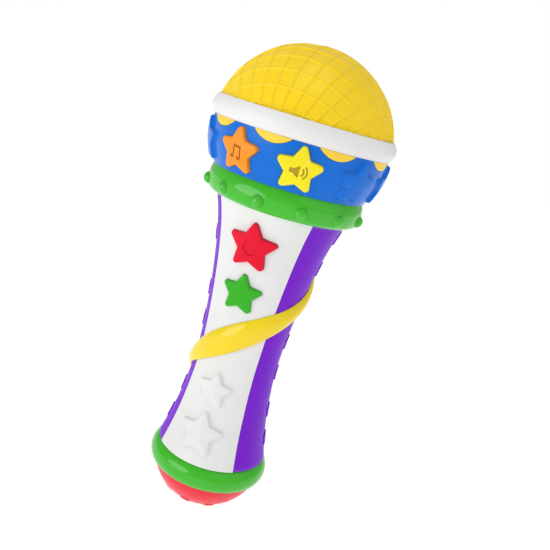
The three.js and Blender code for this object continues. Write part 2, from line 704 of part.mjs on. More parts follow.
// ---------------------------------------------------------------- the toy
addPart('dome', dome(), 'dome');
addPart('rim_ring', rimRing(), 'white');
addPart('head_band', headBand(), 'blue');
addPart('spot_ring', spotRing(), 'spot');
addPart('collar_ring', collarRing(), 'green');
addPart('front_shell', frontShell(), 'white');
addPart('rear_shell', rearShell(), 'white');
addPart('grip_left', sideGrip(-1, LEFT_GRIP_STARS), 'purple');
addPart('grip_right', sideGrip(1, RIGHT_GRIP_STARS), 'purple');
addPart('spiral_ribbon', spiralRibbon(), 'ribbon');
addPart('base_ring', baseRing(), 'green');
addPart('base_cap', baseCap(), 'cap');

const headButton = (azimuth) => starButton(azimuth, HEAD_STAR_HEIGHT, headRadius, HEAD_STAR, HEAD_POST);
addPart('music_button', headButton(MUSIC_AZIMUTH), 'orange');
addPart('volume_button', headButton(VOLUME_AZIMUTH), 'yellow');
addPart('red_star_button', starButton(0, RED_STAR_HEIGHT, handleRadius, RED_STAR, HANDLE_POST), 'red');
addPart('green_star_button', starButton(0, GREEN_STAR_HEIGHT, handleRadius, GREEN_STAR, GREEN_POST), 'green');
addPart('music_switch', pushSwitch(MUSIC_AZIMUTH, HEAD_STAR_HEIGHT, headRadius, HEAD_POST), 'black');
addPart('volume_switch', pushSwitch(VOLUME_AZIMUTH, HEAD_STAR_HEIGHT, headRadius, HEAD_POST), 'black');
addPart('red_star_switch', pushSwitch(0, RED_STAR_HEIGHT, handleRadius, HANDLE_POST), 'black');
addPart('green_star_switch', pushSwitch(0, GREEN_STAR_HEIGHT, handleRadius, GREEN_POST), 'black');

addPart('battery_door', batteryDoor(), 'white');
addPart('door_screw', screw(polar(Math.PI, handleRadius(DOOR_SCREW_HEIGHT), DOOR_SCREW_HEIGHT)), 'steel');
CASE_SCREWS.forEach((spot, index) => addPart(`case_screw_${index + 1}`, screw(screwPlace(spot)), 'steel'));
addPart('battery_box', batteryBox(), 'grey');
addPart('battery_1', cell(-CELL_X, true), 'cell');
addPart('battery_2', cell(CELL_X, false), 'cell');
addPart('contact_bridge', contactPlate(0, 19, CELL_TOP - 0.05), 'zinc');
addPart('contact_minus', contactPlate(-CELL_X, 7.6, CELL_FLOOR - PLATE.thickness), 'zinc');
addPart('contact_plus', contactPlate(CELL_X, 7.6, CELL_FLOOR - PLATE.thickness), 'zinc');
addPart('spring_lower', coneSpring(-CELL_X, CELL_FLOOR + GAP, true), 'steel');
addPart('spring_upper', coneSpring(CELL_X, CELL_TOP - SPRING.height - GAP, false), 'steel');
addPart('main_board', box(MAIN_BOARD), 'board');
addPart('sound_chip', box(SOUND_CHIP), 'black');
addPart('head_board', box(HEAD_BOARD), 'board');
addPart('speaker_tray', speakerTray(), 'white');
addPart('speaker_frame', speakerFrame(), 'grey');
addPart('speaker_magnet', speakerMagnet(), 'steel');
addPart('speaker_cone', speakerCone(), 'paper');

export default group;
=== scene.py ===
import math

import bmesh
import bpy
import numpy as np
from mathutils import Matrix, Vector


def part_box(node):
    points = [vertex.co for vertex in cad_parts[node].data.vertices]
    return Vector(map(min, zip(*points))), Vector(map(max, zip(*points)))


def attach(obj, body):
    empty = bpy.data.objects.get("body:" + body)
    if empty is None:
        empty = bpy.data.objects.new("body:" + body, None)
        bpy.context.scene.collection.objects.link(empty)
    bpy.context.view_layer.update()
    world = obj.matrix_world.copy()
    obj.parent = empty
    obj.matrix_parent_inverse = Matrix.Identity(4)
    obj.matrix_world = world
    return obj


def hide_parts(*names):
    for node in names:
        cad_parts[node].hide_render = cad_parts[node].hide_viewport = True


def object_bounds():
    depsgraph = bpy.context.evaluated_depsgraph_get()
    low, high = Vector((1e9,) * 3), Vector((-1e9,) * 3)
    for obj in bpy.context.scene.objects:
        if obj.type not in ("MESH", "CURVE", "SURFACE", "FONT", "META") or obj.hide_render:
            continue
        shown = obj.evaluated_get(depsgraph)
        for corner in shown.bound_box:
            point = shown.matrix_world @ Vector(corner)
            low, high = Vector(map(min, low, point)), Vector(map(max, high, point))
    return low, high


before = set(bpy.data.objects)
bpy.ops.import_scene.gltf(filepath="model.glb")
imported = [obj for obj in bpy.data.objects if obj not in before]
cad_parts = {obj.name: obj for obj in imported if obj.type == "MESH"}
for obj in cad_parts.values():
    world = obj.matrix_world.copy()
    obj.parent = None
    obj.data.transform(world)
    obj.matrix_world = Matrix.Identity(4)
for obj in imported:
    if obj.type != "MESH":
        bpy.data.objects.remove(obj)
cad_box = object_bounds()

MM = 0.001
AROUND = 180
GAP = 0.3
HAIRLINE = 0.05
WALL = 2.2
BODY = "body"

STAR_WAIST = 0.52
HEAD_SPACING = 40
SPOTS = 9
GRIP_EDGE = 46.5
BUTTON_DEPTH = 3.9
HOLE_GAP = 0.12
FLANGE_SHARE = 0.8

# Outlines of the two turned walls, as (height, radius).
HANDLE_PROFILE = [
    (24.4, 24.4), (32, 22.5), (41, 20.7), (53, 19.1), (66, 18.2),
    (80, 18.5), (94, 19.6), (107, 21.1), (119, 23), (129, 25.2), (137, 27.7),
]
HEAD_PROFILE = [
    (147.9, 32.1), (149.5, 32.8), (152, 33.8), (155, 34.8), (158, 35.6), (161, 36.1), (164, 36.4), (166.5, 36.4),
]


# ---------------------------------------------------------------- places taken from the frame
def span(node):
    """Lowest and highest corner of a CAD node."""
    low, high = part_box(node)
    return np.array(low) / MM, np.array(high) / MM


RIM_LOW, RIM_HIGH = span("rim_ring")
DOME_LOW, DOME_HIGH = span("dome")
BAND_LOW = span("head_band")[0]
BASE_LOW = span("base_ring")[0]
CAP_LOW, CAP_HIGH = span("base_cap")
SHELL_LOW, SHELL_HIGH = span("front_shell")
DOOR_LOW, DOOR_HIGH = span("battery_door")
HANDLE_BOTTOM = HANDLE_PROFILE[0][0]
HANDLE_TOP = HANDLE_PROFILE[-1][0]


# ---------------------------------------------------------------- points and outlines
def polar(azimuth, radius, height):
    """Azimuth 0 is the front, -Y, and grows towards +X."""
    turn = np.radians(azimuth)
    return np.stack(np.broadcast_arrays(radius * np.sin(turn), -radius * np.cos(turn), height), axis=-1)


def unit(angle):
    return np.array((math.cos(angle), math.sin(angle)))


def smooth_through(profile):
    """A smooth radius for any height, through (height, radius) points."""
    heights, radii = np.array(profile, float).T
    slopes = np.gradient(radii, heights)

    def radius(height):
        i = np.clip(np.searchsorted(heights, height) - 1, 0, len(heights) - 2)
        step = heights[i + 1] - heights[i]
        t = np.clip((height - heights[i]) / step, 0, 1)
        rise = (1 + 2 * t) * (1 - t) ** 2 * radii[i] + t * t * (3 - 2 * t) * radii[i + 1]
        return rise + step * t * (1 - t) * ((1 - t) * slopes[i] - t * slopes[i + 1])

    return radius


handle_wall = smooth_through(HANDLE_PROFILE)
head_wall = smooth_through(HEAD_PROFILE)


def arc(centre, radius, first, last, steps):
    """(x, y, 0) corners along an arc, between two angles in degrees."""
    turns = np.radians(np.linspace(first, last, steps + 1))
    return [(centre[0] + radius * math.cos(t), centre[1] + radius * math.sin(t), 0) for t in turns]


def bulge(middle, radius, curve, low, high, steps=16):
    """(radius, height) corners up a wall that bulges out as an arc."""
    heights = np.linspace(low, high, steps + 1)
    return [(radius - curve + math.sqrt(curve ** 2 - (height - middle) ** 2), height, 0) for height in heights]


def filleted(corners, steps=6):
    """Closed outline of (x, y, fillet radius) corners, with the fillets drawn as arcs."""
    points = []
    count = len(corners)
    for i, (x, y, fillet) in enumerate(corners):
        here = np.array((x, y), float)
        if fillet == 0:
            points.append(here)
            continue
        before = np.array(corners[i - 1][:2]) - here
        after = np.array(corners[(i + 1) % count][:2]) - here
        before /= np.linalg.norm(before)
        after /= np.linalg.norm(after)
        half = math.acos(before @ after) / 2
        middle = (before + after) / np.linalg.norm(before + after)
        centre = here + middle * fillet / math.sin(half)
        start = here + before * fillet / math.tan(half) - centre
        end = here + after * fillet / math.tan(half) - centre
        sweep = math.atan2(start[0] * end[1] - start[1] * end[0], start @ end)
        for turn in np.linspace(0, sweep, steps + 1):
            cos, sin = math.cos(turn), math.sin(turn)
            points.append(centre + (cos * start[0] - sin * start[1], sin * start[0] + cos * start[1]))
    return np.array(points)


def star_outline(radius, tip_round, valley_round=0.8):
    """Points and outward normals of a five-pointed star, one tip up, with rounded tips and valleys."""
    tenth = math.radians(36)
    half = math.atan2(STAR_WAIST * math.sin(tenth), 1 - STAR_WAIST * math.cos(tenth))
    sharp = radius + tip_round * (1 / math.sin(half) - 1)
    tip = sharp - tip_round / math.sin(half)
    tip_turn = math.pi / 2 - half
    valley = sharp * STAR_WAIST + valley_round / math.sin(tenth + half)
    valley_turn = math.pi / 2 - tenth - half
    points, normals = [], []
    for arm in range(5):
        up = math.radians(90) + 2 * tenth * arm
        for turn in np.linspace(-tip_turn, tip_turn, 11):
            points.append(tip * unit(up) + tip_round * unit(up + turn))
            normals.append(unit(up + turn))
        side = up + tenth
        for turn in np.linspace(valley_turn, -valley_turn, 5):
            points.append(valley * unit(side) - valley_round * unit(side + turn))
            normals.append(unit(side + turn))
    return with_short_steps(points, normals, 1.0)


def with_short_steps(points, normals, longest):
    """Splits an outline's long straight sides, so that they can follow a curved wall."""
    split_points, split_normals = [], []
    for i, point in enumerate(points):
        following = points[(i + 1) % len(points)]
        parts = max(1, math.ceil(np.linalg.norm(following - point) / longest))
        for part in range(parts):
            split_points.append(point + (following - point) * part / parts)
            split_normals.append(normals[i])
    return np.array(split_points), np.array(split_normals)


def disc_outline(radius, count=72):
    normals = np.array([unit(turn) for turn in np.linspace(0, 2 * math.pi, count, endpoint=False)])
    return radius * normals, normals


# ---------------------------------------------------------------- closed shapes: points and faces
def skin(loops, ends="strip"):
    """Closed surface through loops of equal length. The ends are joined, or capped by strips or fans."""
    loops = np.asarray(loops, float)
    rows, count = loops.shape[:2]
    points = loops.reshape(-1, 3)
    faces = []
    for row in range(rows if ends == "joined" else rows - 1):
        here, there = row * count, (row + 1) % rows * count
        for i in range(count):
            j = (i + 1) % count
            faces.append((here + i, here + j, there + j, there + i))
    if ends == "strip":
        for start in (0, (rows - 1) * count):
            far = start + count - 1
            faces += [(start + i, start + i + 1, far - i - 1, far - i) for i in range(count // 2 - 1)]
    if ends == "fan":
        for start in (0, (rows - 1) * count):
            points = np.vstack([points, points[start:start + count].mean(axis=0)])
            faces += [(start + i, start + (i + 1) % count, len(points) - 1) for i in range(count)]
    return points, faces


def merged(shapes):
    """One shape from several that don't touch."""
    points, faces, start = [], [], 0
    for shape_points, shape_faces in shapes:
        points.append(shape_points)
        faces += [tuple(start + i for i in face) for face in shape_faces]
        start += len(shape_points)
    return np.vstack(points), faces


def turned(outline, segments=AROUND):
    """Turns a closed (radius, height) outline about the vertical axis."""
    outline = np.asarray(outline, float)
    azimuths = np.arange(segments) * 360 / segments
    return skin([polar(azimuth, outline[:, 0], outline[:, 1]) for azimuth in azimuths], "joined")


def panel(azimuths, heights, outer, inner):
    """Curved plate between two radial surfaces."""
    azimuths = np.asarray(azimuths, float)
    loops = []
    for height in heights:
        front = polar(azimuths, outer(azimuths, height), height)
        back = polar(azimuths, inner(azimuths, height), height)
        loops.append(np.vstack([front, back[::-1]]))
    return skin(loops)


def stand(azimuth, height, wall):
    """Frame on a turned wall, as its axes and origin: X around it, Y up its slope, Z straight out."""
    reach = 1.5
    lean = math.atan((wall(height + reach) - wall(height - reach)) / (2 * reach))
    outward = polar(azimuth, math.cos(lean), -math.sin(lean))
    upward = polar(azimuth, math.sin(lean), math.cos(lean))
    axes = np.column_stack([np.cross(upward, outward), upward, outward])
    return axes, polar(azimuth, wall(height), height)


def placed(shape, base):
    axes, origin = base
    return shape[0] @ axes.T + origin, shape[1]


def draped(shape, base, wall):
    """Puts a shape drawn on a flat wall onto the curved one."""
    points, faces = shape
    drop = np.zeros(len(points))
    for _ in range(5):
        flat = np.column_stack([points[:, :2], drop])
        there, _ = placed((flat, faces), base)
        drop += wall(there[:, 2]) - np.hypot(there[:, 0], there[:, 1])
    sunk = points + np.outer(drop, (0, 0, 1))
    return placed((sunk, faces), base)


def at_height(outline, height):
    return np.column_stack([outline, np.full(len(outline), height)])


def prism(outline, low, high, ends="strip"):
    return skin([at_height(outline, low), at_height(outline, high)], ends)


def raised(outline, low, high, edge, crown=0.0, foot=0.0):
    """Plate with a rounded top edge, a slight crown and, if foot is set, a hollow fillet at the wall."""
    points, normals = outline
    steps = [(-foot, low)]
    if foot:
        turns = np.linspace(0, math.pi / 2, 6)
        steps += [(-foot * (1 - math.sin(turn)), foot * (1 - math.cos(turn)) - 0.04) for turn in turns]
    for turn in np.linspace(0, math.pi / 2, 7):
        steps.append((edge * (1 - math.cos(turn)), high - edge + edge * math.sin(turn)))
    loops = [at_height(points - inset * normals, height) for inset, height in steps]
    rim = points - edge * normals
    for share in (0.85, 0.68, 0.5, 0.32, 0.15):
        loops.append(at_height(rim * share, high + crown * (1 - share ** 2)))
    return skin(loops, "fan")


def ball(radius, squash=1.0):
    """Ball at the origin, flattened along Z by squash."""
    ring = np.radians(np.arange(32) * 360 / 32)
    loops = []
    for turn in np.radians(np.linspace(-84, 84, 15)):
        reach = radius * math.cos(turn)
        level = np.full(len(ring), radius * squash * math.sin(turn))
        loops.append(np.column_stack([reach * np.cos(ring), reach * np.sin(ring), level]))
    return skin(loops, "fan")


def moved(shape, offset):
    return shape[0] + np.asarray(offset, float), shape[1]


# ---------------------------------------------------------------- Blender objects
def new_object(name, shape, material):
    points, faces = shape
    mesh = bpy.data.meshes.new(name)
    mesh.from_pydata((points * MM).tolist(), [], faces)
    mesh.materials.append(material)
    edit = bmesh.new()
    edit.from_mesh(mesh)
    bmesh.ops.remove_doubles(edit, verts=edit.verts, dist=0.001 * MM)
    loose = [edge for edge in edit.edges if not edge.link_faces]
    bmesh.ops.delete(edit, geom=loose, context="EDGES")
    bmesh.ops.recalc_face_normals(edit, faces=edit.faces)
    edit.to_mesh(mesh)
    edit.free()
    made = bpy.data.objects.new(name, mesh)
    bpy.context.scene.collection.objects.link(made)
    return made


def apply_modifiers(thing):
    bpy.context.view_layer.update()
    graph = bpy.context.evaluated_depsgraph_get()
    final = bpy.data.meshes.new_from_object(thing.evaluated_get(graph))
    thing.modifiers.clear()
    thing.data = final


def carve(thing, shape, operation, material=None):
    """Cuts a shape from a piece, or joins it on. The new faces take the piece's material, or the given one."""
    tool = new_object("tool", shape, material or thing.data.materials[0])
    modifier = thing.modifiers.new("carve", "BOOLEAN")
    modifier.operation = operation
    modifier.solver = "EXACT"
    modifier.material_mode = "TRANSFER"
    modifier.object = tool
    apply_modifiers(thing)
    bpy.data.objects.remove(tool)
    edit = bmesh.new()
    edit.from_mesh(thing.data)
    bmesh.ops.remove_doubles(edit, verts=edit.verts, dist=0.002 * MM)
    bmesh.ops.dissolve_degenerate(edit, edges=edit.edges, dist=0.001 * MM)
    edit.to_mesh(thing.data)
    edit.free()


def settle(thing, slot, body, *nodes):
    """Smooths a finished piece, hangs it under the body it rides on, and hides the CAD nodes it stands for."""
    thing.data.shade_smooth()
    thing.data.set_sharp_from_angle(angle=math.radians(32))
    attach(thing, body)
    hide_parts(*nodes)


# ---------------------------------------------------------------- materials
def linear(red, green, blue):
    """Colour given as 0 to 255, as Blender wants it."""
    share = np.array((red, green, blue)) / 255
    scene_linear = np.where(share <= 0.04045, share / 12.92, ((share + 0.055) / 1.055) ** 2.4)
    return (*scene_linear, 1.0)


def scaled(colour, factor):
    return tuple(min(1.0, channel * factor) for channel in colour[:3]) + (1.0,)


def add_node(tree, kind, inputs=None, **settings):
    """Adds a node, sets its settings, and links or fills its inputs."""
    made = tree.nodes.new(kind)
    for key, value in settings.items():
        setattr(made, key, value)
    for key, value in (inputs or {}).items():
        if isinstance(value, bpy.types.NodeSocket):
            tree.links.new(value, made.inputs[key])
        else:
            made.inputs[key].default_value = value
    return made


def noise(tree, place, scale, detail):
    made = add_node(tree, "ShaderNodeTexNoise", {"Vector": place, "Scale": scale, "Detail": detail})
    return made.outputs["Fac"]


def ranged(tree, value, low, high, to_low, to_high):
    made = add_node(tree, "ShaderNodeMapRange", {
        "Value": value, "From Min": low, "From Max": high, "To Min": to_low, "To Max": to_high})
    return made.outputs["Result"]


def mixed(tree, factor, first, second, how="MIX"):
    """Mixes two colours. The sockets are numbered, because a Mix node has one set for each data type."""
    made = add_node(tree, "ShaderNodeMix", {0: factor, 6: first, 7: second}, data_type="RGBA", blend_type=how)
    return made.outputs[2]


def added(tree, first, second):
    return add_node(tree, "ShaderNodeMath", {0: first, 1: second}, operation="ADD").outputs[0]


def plastic(name, colour, roughness, grain=0.5, wave=0.5, scuffs=0.5, worn=0.5, painted_crease_shade=0.08, soft=0.0, gloss=0.28):
    """Moulded plastic: drifting pigment, moulding grain and waviness, hairline scuffs, worn edges and
    painted shade that darkens the creases. soft lets light into the surface, and gloss sets how much the surface
    mirrors."""
    material = bpy.data.materials.new(name)
    material.use_nodes = True
    tree = material.node_tree
    shader = tree.nodes["Principled BSDF"]
    place = add_node(tree, "ShaderNodeTexCoord").outputs["Object"]

    drift = ranged(tree, noise(tree, place, 35, 3), 0.3, 0.7, 0.0, 1.0)
    pigment = mixed(tree, drift, scaled(colour, 0.955), scaled(colour, 1.03))
    specks = ranged(tree, noise(tree, place, 2600, 2), 0.35, 0.65, 0.0, 0.07)
    pigment = mixed(tree, specks, pigment, scaled(colour, 0.72))

    streak_map = add_node(tree, "ShaderNodeMapping", {
        "Vector": place, "Rotation": (0.5, 0.3, 0.9), "Scale": (1.0, 14.0, 1.0)})
    streaks = noise(tree, streak_map.outputs["Vector"], 160, 5)
    scuffed = ranged(tree, streaks, 0.66, 0.76, 0.0, scuffs)

    pointiness = add_node(tree, "ShaderNodeNewGeometry").outputs["Pointiness"]
    edges = ranged(tree, pointiness, 0.52, 0.62, 0.0, worn * 0.3)
    pale = tuple(0.6 * channel + 0.4 for channel in colour[:3]) + (1.0,)
    pigment = mixed(tree, edges, pigment, pale)

    # Painted shade: where ambient occlusion finds a crease, the colour darkens towards a third of itself.
    shade = add_node(tree, "ShaderNodeAmbientOcclusion", {"Distance": 2.5 * MM}, samples=4)
    painted_crease_mask = ranged(tree, shade.outputs["AO"], 0.35, 0.95, painted_crease_shade, 0.0)
    pigment = mixed(tree, painted_crease_mask, pigment, scaled(colour, 0.35))
    tree.links.new(pigment, shader.inputs["Base Color"])

    matt = ranged(tree, noise(tree, place, 90, 4), 0.3, 0.7, roughness * 0.85, roughness * 1.2)
    scuff_matt = ranged(tree, scuffed, 0.0, 1.0, 0.0, 0.25)
    tree.links.new(added(tree, matt, scuff_matt), shader.inputs["Roughness"])

    fine = add_node(tree, "ShaderNodeBump", {
        "Height": noise(tree, place, 1500, 3), "Strength": 0.25 * grain, "Distance": 0.12 * MM})
    slow = add_node(tree, "ShaderNodeBump", {
        "Height": noise(tree, place, 45, 1), "Strength": 0.3 * wave, "Distance": 0.8 * MM,
        "Normal": fine.outputs["Normal"]})
    hairlines = add_node(tree, "ShaderNodeBump", {
        "Height": scuffed, "Strength": 0.15, "Distance": 0.02 * MM, "Normal": slow.outputs["Normal"]})
    tree.links.new(hairlines.outputs["Normal"], shader.inputs["Normal"])

    shader.inputs["Specular IOR Level"].default_value = gloss
    shader.inputs["Subsurface Weight"].default_value = soft
    shader.inputs["Subsurface Radius"].default_value = (1.0, 0.6, 0.45)
    shader.inputs["Subsurface Scale"].default_value = 2.5 * MM
    return material


def metal(name, colour, roughness, brushed=60):
    """Plated steel with faint drawing marks and a little tarnish."""
    material = bpy.data.materials.new(name)
    material.use_nodes = True
    tree = material.node_tree
    shader = tree.nodes["Principled BSDF"]
    place = add_node(tree, "ShaderNodeTexCoord").outputs["Object"]
    tarnish = ranged(tree, noise(tree, place, 220, 4), 0.4, 0.7, 0.0, 0.6)
    tree.links.new(mixed(tree, tarnish, colour, scaled(colour, 0.6)), shader.inputs["Base Color"])
    drawn = add_node(tree, "ShaderNodeMapping", {"Vector": place, "Scale": (1.0, 1.0, 20.0)})
    marks = noise(tree, drawn.outputs["Vector"], brushed, 5)
    tree.links.new(ranged(tree, marks, 0.3, 0.7, roughness * 0.7, roughness * 1.5), shader.inputs["Roughness"])
    bump = add_node(tree, "ShaderNodeBump", {"Height": marks, "Strength": 0.2, "Distance": 0.03 * MM})
    tree.links.new(bump.outputs["Normal"], shader.inputs["Normal"])
    shader.inputs["Metallic"].default_value = 1.0
    return material


def circuit_board():
    """Green solder mask over copper tracks, with rows of solder points."""
    material = plastic("circuit_board", linear(24, 92, 50), 0.4, painted_crease_shade=0.3)
    tree = material.node_tree
    shader = tree.nodes["Principled BSDF"]
    mask = shader.inputs["Base Color"].links[0].from_socket
    place = add_node(tree, "ShaderNodeTexCoord").outputs["Object"]
    tracks = add_node(tree, "ShaderNodeTexBrick", {
        "Vector": place, "Scale": 260.0, "Mortar Size": 0.06, "Color1": (0, 0, 0, 1), "Color2": (0, 0, 0, 1),
        "Mortar": (1, 1, 1, 1)})
    traced = mixed(tree, tracks.outputs["Color"], mask, linear(70, 150, 80))
    points = add_node(tree, "ShaderNodeTexVoronoi", {"Vector": place, "Scale": 420.0, "Randomness": 0.15})
    solder = ranged(tree, points.outputs["Distance"], 0.16, 0.2, 1.0, 0.0)
    tree.links.new(mixed(tree, solder, traced, linear(190, 190, 180)), shader.inputs["Base Color"])
    return material


PLASTICS = {
    "dome_yellow": plastic("dome_yellow", linear(250, 214, 20), 0.36, grain=0.8, worn=0.3, painted_crease_shade=0.1),
    "white_plastic": plastic("white_plastic", linear(230, 230, 229), 0.34),
    "blue_plastic": plastic("blue_plastic", linear(2, 108, 212), 0.26, worn=0.2, painted_crease_shade=0.0, gloss=0.2),
    "spot_yellow": plastic("spot_yellow", linear(250, 212, 64), 0.34),
    "green_plastic": plastic("green_plastic", linear(56, 184, 22), 0.09, wave=0.3, gloss=0.5),
    "purple_plastic": plastic("purple_plastic", linear(122, 28, 206), 0.42, grain=0.9, painted_crease_shade=0.0, gloss=0.12),
    "ribbon_yellow": plastic("ribbon_yellow", linear(246, 214, 4), 0.13, wave=0.3, soft=0.15, gloss=0.5),
    "cap_red": plastic("cap_red", linear(232, 36, 54), 0.34, soft=0.3),
    "button_orange": plastic("button_orange", linear(243, 146, 20), 0.3, soft=0.1),
    "button_yellow": plastic("button_yellow", linear(242, 226, 12), 0.3, soft=0.1),
    "button_green": plastic("button_green", linear(44, 174, 16), 0.2, gloss=0.3),
    "button_red": plastic("button_red", linear(229, 4, 44), 0.34, worn=0.0, painted_crease_shade=0.3, gloss=0.18),
    "switch_black": plastic("switch_black", linear(34, 34, 36), 0.45),
    "inner_grey": plastic("inner_grey", linear(150, 152, 156), 0.5),
    "battery_case": plastic("battery_case", linear(58, 74, 92), 0.35),
}
ICON_ORANGE = plastic("icon_orange", linear(190, 100, 18), 0.5)
ICON_YELLOW = plastic("icon_yellow", linear(182, 154, 34), 0.5)
METALS = {
    "screw_steel": metal("screw_steel", linear(196, 199, 204), 0.3),
    "contact_metal": metal("contact_metal", linear(214, 212, 204), 0.22),
}
OTHERS = {
    "circuit_board": circuit_board(),
    "speaker_paper": plastic("paper_cone", linear(46, 44, 44), 0.9, grain=2.5, painted_crease_shade=0.3),
}
MATERIALS = {**PLASTICS, **METALS, **OTHERS}


# ---------------------------------------------------------------- head
RIDGE_ANGLE = 12.3
RIDGES_EACH_WAY = 6
RIDGE_HEIGHT = 0.5
RIDGE_HALF_WIDTH = 0.6


def ridge_columns():
    """Angles from the top of the dome that sample every ridge finely and the panels between them coarsely."""
    offsets = np.array((0, 0.15, 0.3, 0.45, 0.6, 0.85, 1.3))
    across = np.degrees(np.concatenate([-offsets[:0:-1], offsets]) / dome_radius())
    ridges = np.arange(-RIDGES_EACH_WAY, RIDGES_EACH_WAY + 1) * RIDGE_ANGLE
    between = (ridges[:-1] + ridges[1:]) / 2
    outside = RIDGES_EACH_WAY * RIDGE_ANGLE + np.array((4.0, 8.0, 12.0, 16.0, 20.0))
    columns = [(ridges[:, None] + across).ravel(), between - 1.2, between + 1.2, outside, -outside]
    return np.sort(np.concatenate(columns))


def dome_radius():
    """The sphere's radius, from the height and the width of its CAD cap."""
    height = DOME_HIGH[2] - DOME_LOW[2]
    return (DOME_HIGH[0] ** 2 + height ** 2) / (2 * height)


def ridge_relief(points, hub, slopes, axis):
    """Height of one family of ridges. Its planes all pass through a line below the dome's centre."""
    relief = np.zeros(points.shape[:-1])
    for slope in slopes:
        length = math.hypot(1, slope)
        distance = np.abs(points[..., axis] - slope * (points[..., 2] - hub)) / length
        share = np.clip(distance / RIDGE_HALF_WIDTH, 0, 1)
        relief = np.maximum(relief, RIDGE_HEIGHT * (1 + np.cos(math.pi * share)) / 2)
    return relief


def dome():
    """Sphere cap with two crossing families of ridges, on a grid that follows the ridges."""
    radius = dome_radius() - RIDGE_HEIGHT
    centre = DOME_HIGH[2] - dome_radius()
    below = 0.54 * radius

    def slope(angle):
        turn = np.radians(angle)
        return radius * np.sin(turn) / (radius * np.cos(turn) + below)

    steps = slope(ridge_columns())
    x, y = np.meshgrid(steps, steps, indexing="ij")
    square = x ** 2 + y ** 2 + 1
    reach = (below + np.sqrt(below ** 2 + square * (radius ** 2 - below ** 2))) / square
    points = np.stack([x * reach, y * reach, reach - below], axis=-1)
    ridge_slopes = slope(np.arange(-RIDGES_EACH_WAY, RIDGES_EACH_WAY + 1) * RIDGE_ANGLE)
    relief = np.maximum(
        ridge_relief(points, -below, ridge_slopes, 0), ridge_relief(points, -below, ridge_slopes, 1))
    points *= (1 + relief / radius)[..., None]
    points[..., 2] += centre
    count = len(steps)
    grid = np.arange(count * count).reshape(count, count)
    corners = [grid[:-1, :-1], grid[1:, :-1], grid[1:, 1:], grid[:-1, 1:]]
    faces = np.stack(corners, axis=-1).reshape(-1, 4).tolist()
    made = new_object("dome_lattice", (points.reshape(-1, 3), faces), MATERIALS["dome_yellow"])
    trim(made, DOME_LOW[2], above=False)
    shell = made.modifiers.new("shell", "SOLIDIFY")
    shell.thickness = WALL * MM
    shell.offset = -1
    apply_modifiers(made)
    settle(made, "dome_yellow", BODY, "dome")


def trim(thing, height, above, fill=False):
    """Drops what lies above or below a height, and closes the cut if asked."""
    edit = bmesh.new()
    edit.from_mesh(thing.data)
    everything = edit.verts[:] + edit.edges[:] + edit.faces[:]
    result = bmesh.ops.bisect_plane(
        edit, geom=everything, plane_co=(0, 0, height * MM), plane_no=(0, 0, 1),
        clear_outer=above, clear_inner=not above)
    if fill:
        cut = [item for item in result["geom_cut"] if isinstance(item, bmesh.types.BMEdge)]
        bmesh.ops.holes_fill(edit, edges=cut)
    bmesh.ops.recalc_face_normals(edit, faces=edit.faces)
    edit.to_mesh(thing.data)
    edit.free()


RIM_INSIDE = 33.9
RIM_LIP = 36.5
RIM_SEAT = RIM_HIGH[2] - 2.4
RIM_BULGE = {"middle": 170.6, "radius": 38.3, "curve": 5.8}


def rim_ring():
    low, high = RIM_LOW[2], RIM_HIGH[2]
    outline = filleted([
        (RIM_INSIDE, low, 0.3), (RIM_LIP, low, 0.1), *bulge(**RIM_BULGE, low=low + 0.1, high=high - 0.1, steps=40),
        (RIM_LIP, high, 0.05), (RIM_LIP - 0.05, RIM_SEAT, 0), (RIM_INSIDE, RIM_SEAT, 0.3),
    ])
    made = new_object("rim_band", turned(outline), MATERIALS["white_plastic"])
    settle(made, "white_plastic", BODY, "rim_ring")


SPOT_RADIUS = 10.6
SPOT_HEIGHT = 174.1
HOOP_DEPTH = BUTTON_DEPTH + 2
HOOP_THICKNESS = 1.6
HOOP_HEIGHT = 2.2
HEAD_STAR = {"radius": 9.0, "tip_round": 1.3}
HEAD_STAR_PROUD = 1.6
HEAD_STAR_HEIGHT = 156.8


def spot_base(index):
    edge = head_wall(RIM_LOW[2])
    return stand(index * HEAD_SPACING, SPOT_HEIGHT, lambda height: edge)


def star_hole(azimuth, height, wall, star):
    points, normals = star_outline(**star)
    hole = prism(points + HOLE_GAP * normals, -2 * BUTTON_DEPTH, 5, "fan")
    return placed(hole, stand(azimuth, height, wall))


def head_band():
    heights = np.linspace(BAND_LOW[2], RIM_LOW[2] - HAIRLINE, 40)
    outer = [(head_wall(height), height, 0) for height in heights]
    inner = [(radius - WALL, height, 0) for radius, height, _ in outer[::-1] if height > BAND_LOW[2] + 2]
    outline = filleted([(20, BAND_LOW[2], 0), *outer, *inner, (20, inner[-1][1], 0)])
    made = new_object("head_band_stars", turned(outline), MATERIALS["blue_plastic"])
    star = raised(star_outline(**HEAD_STAR), -1, HEAD_STAR_PROUD, 0.75, crown=0.1, foot=0.8)
    azimuths = [HEAD_SPACING * (index + 0.5) for index in range(SPOTS)]
    moulded = [azimuth for azimuth in azimuths if HEAD_SPACING < azimuth < 360 - HEAD_SPACING]
    bases = [stand(azimuth, HEAD_STAR_HEIGHT, head_wall) for azimuth in moulded]
    carve(made, merged([draped(star, base, head_wall) for base in bases]), "UNION")
    for azimuth in (-HEAD_SPACING / 2, HEAD_SPACING / 2):
        carve(made, star_hole(azimuth, HEAD_STAR_HEIGHT, head_wall, HEAD_STAR), "DIFFERENCE")
    notch = prism(disc_outline(SPOT_RADIUS + 0.12)[0], -9, 3, "fan")
    carve(made, merged([placed(notch, spot_base(index)) for index in range(SPOTS)]), "DIFFERENCE")
    settle(made, "blue_plastic", BODY, "head_band")


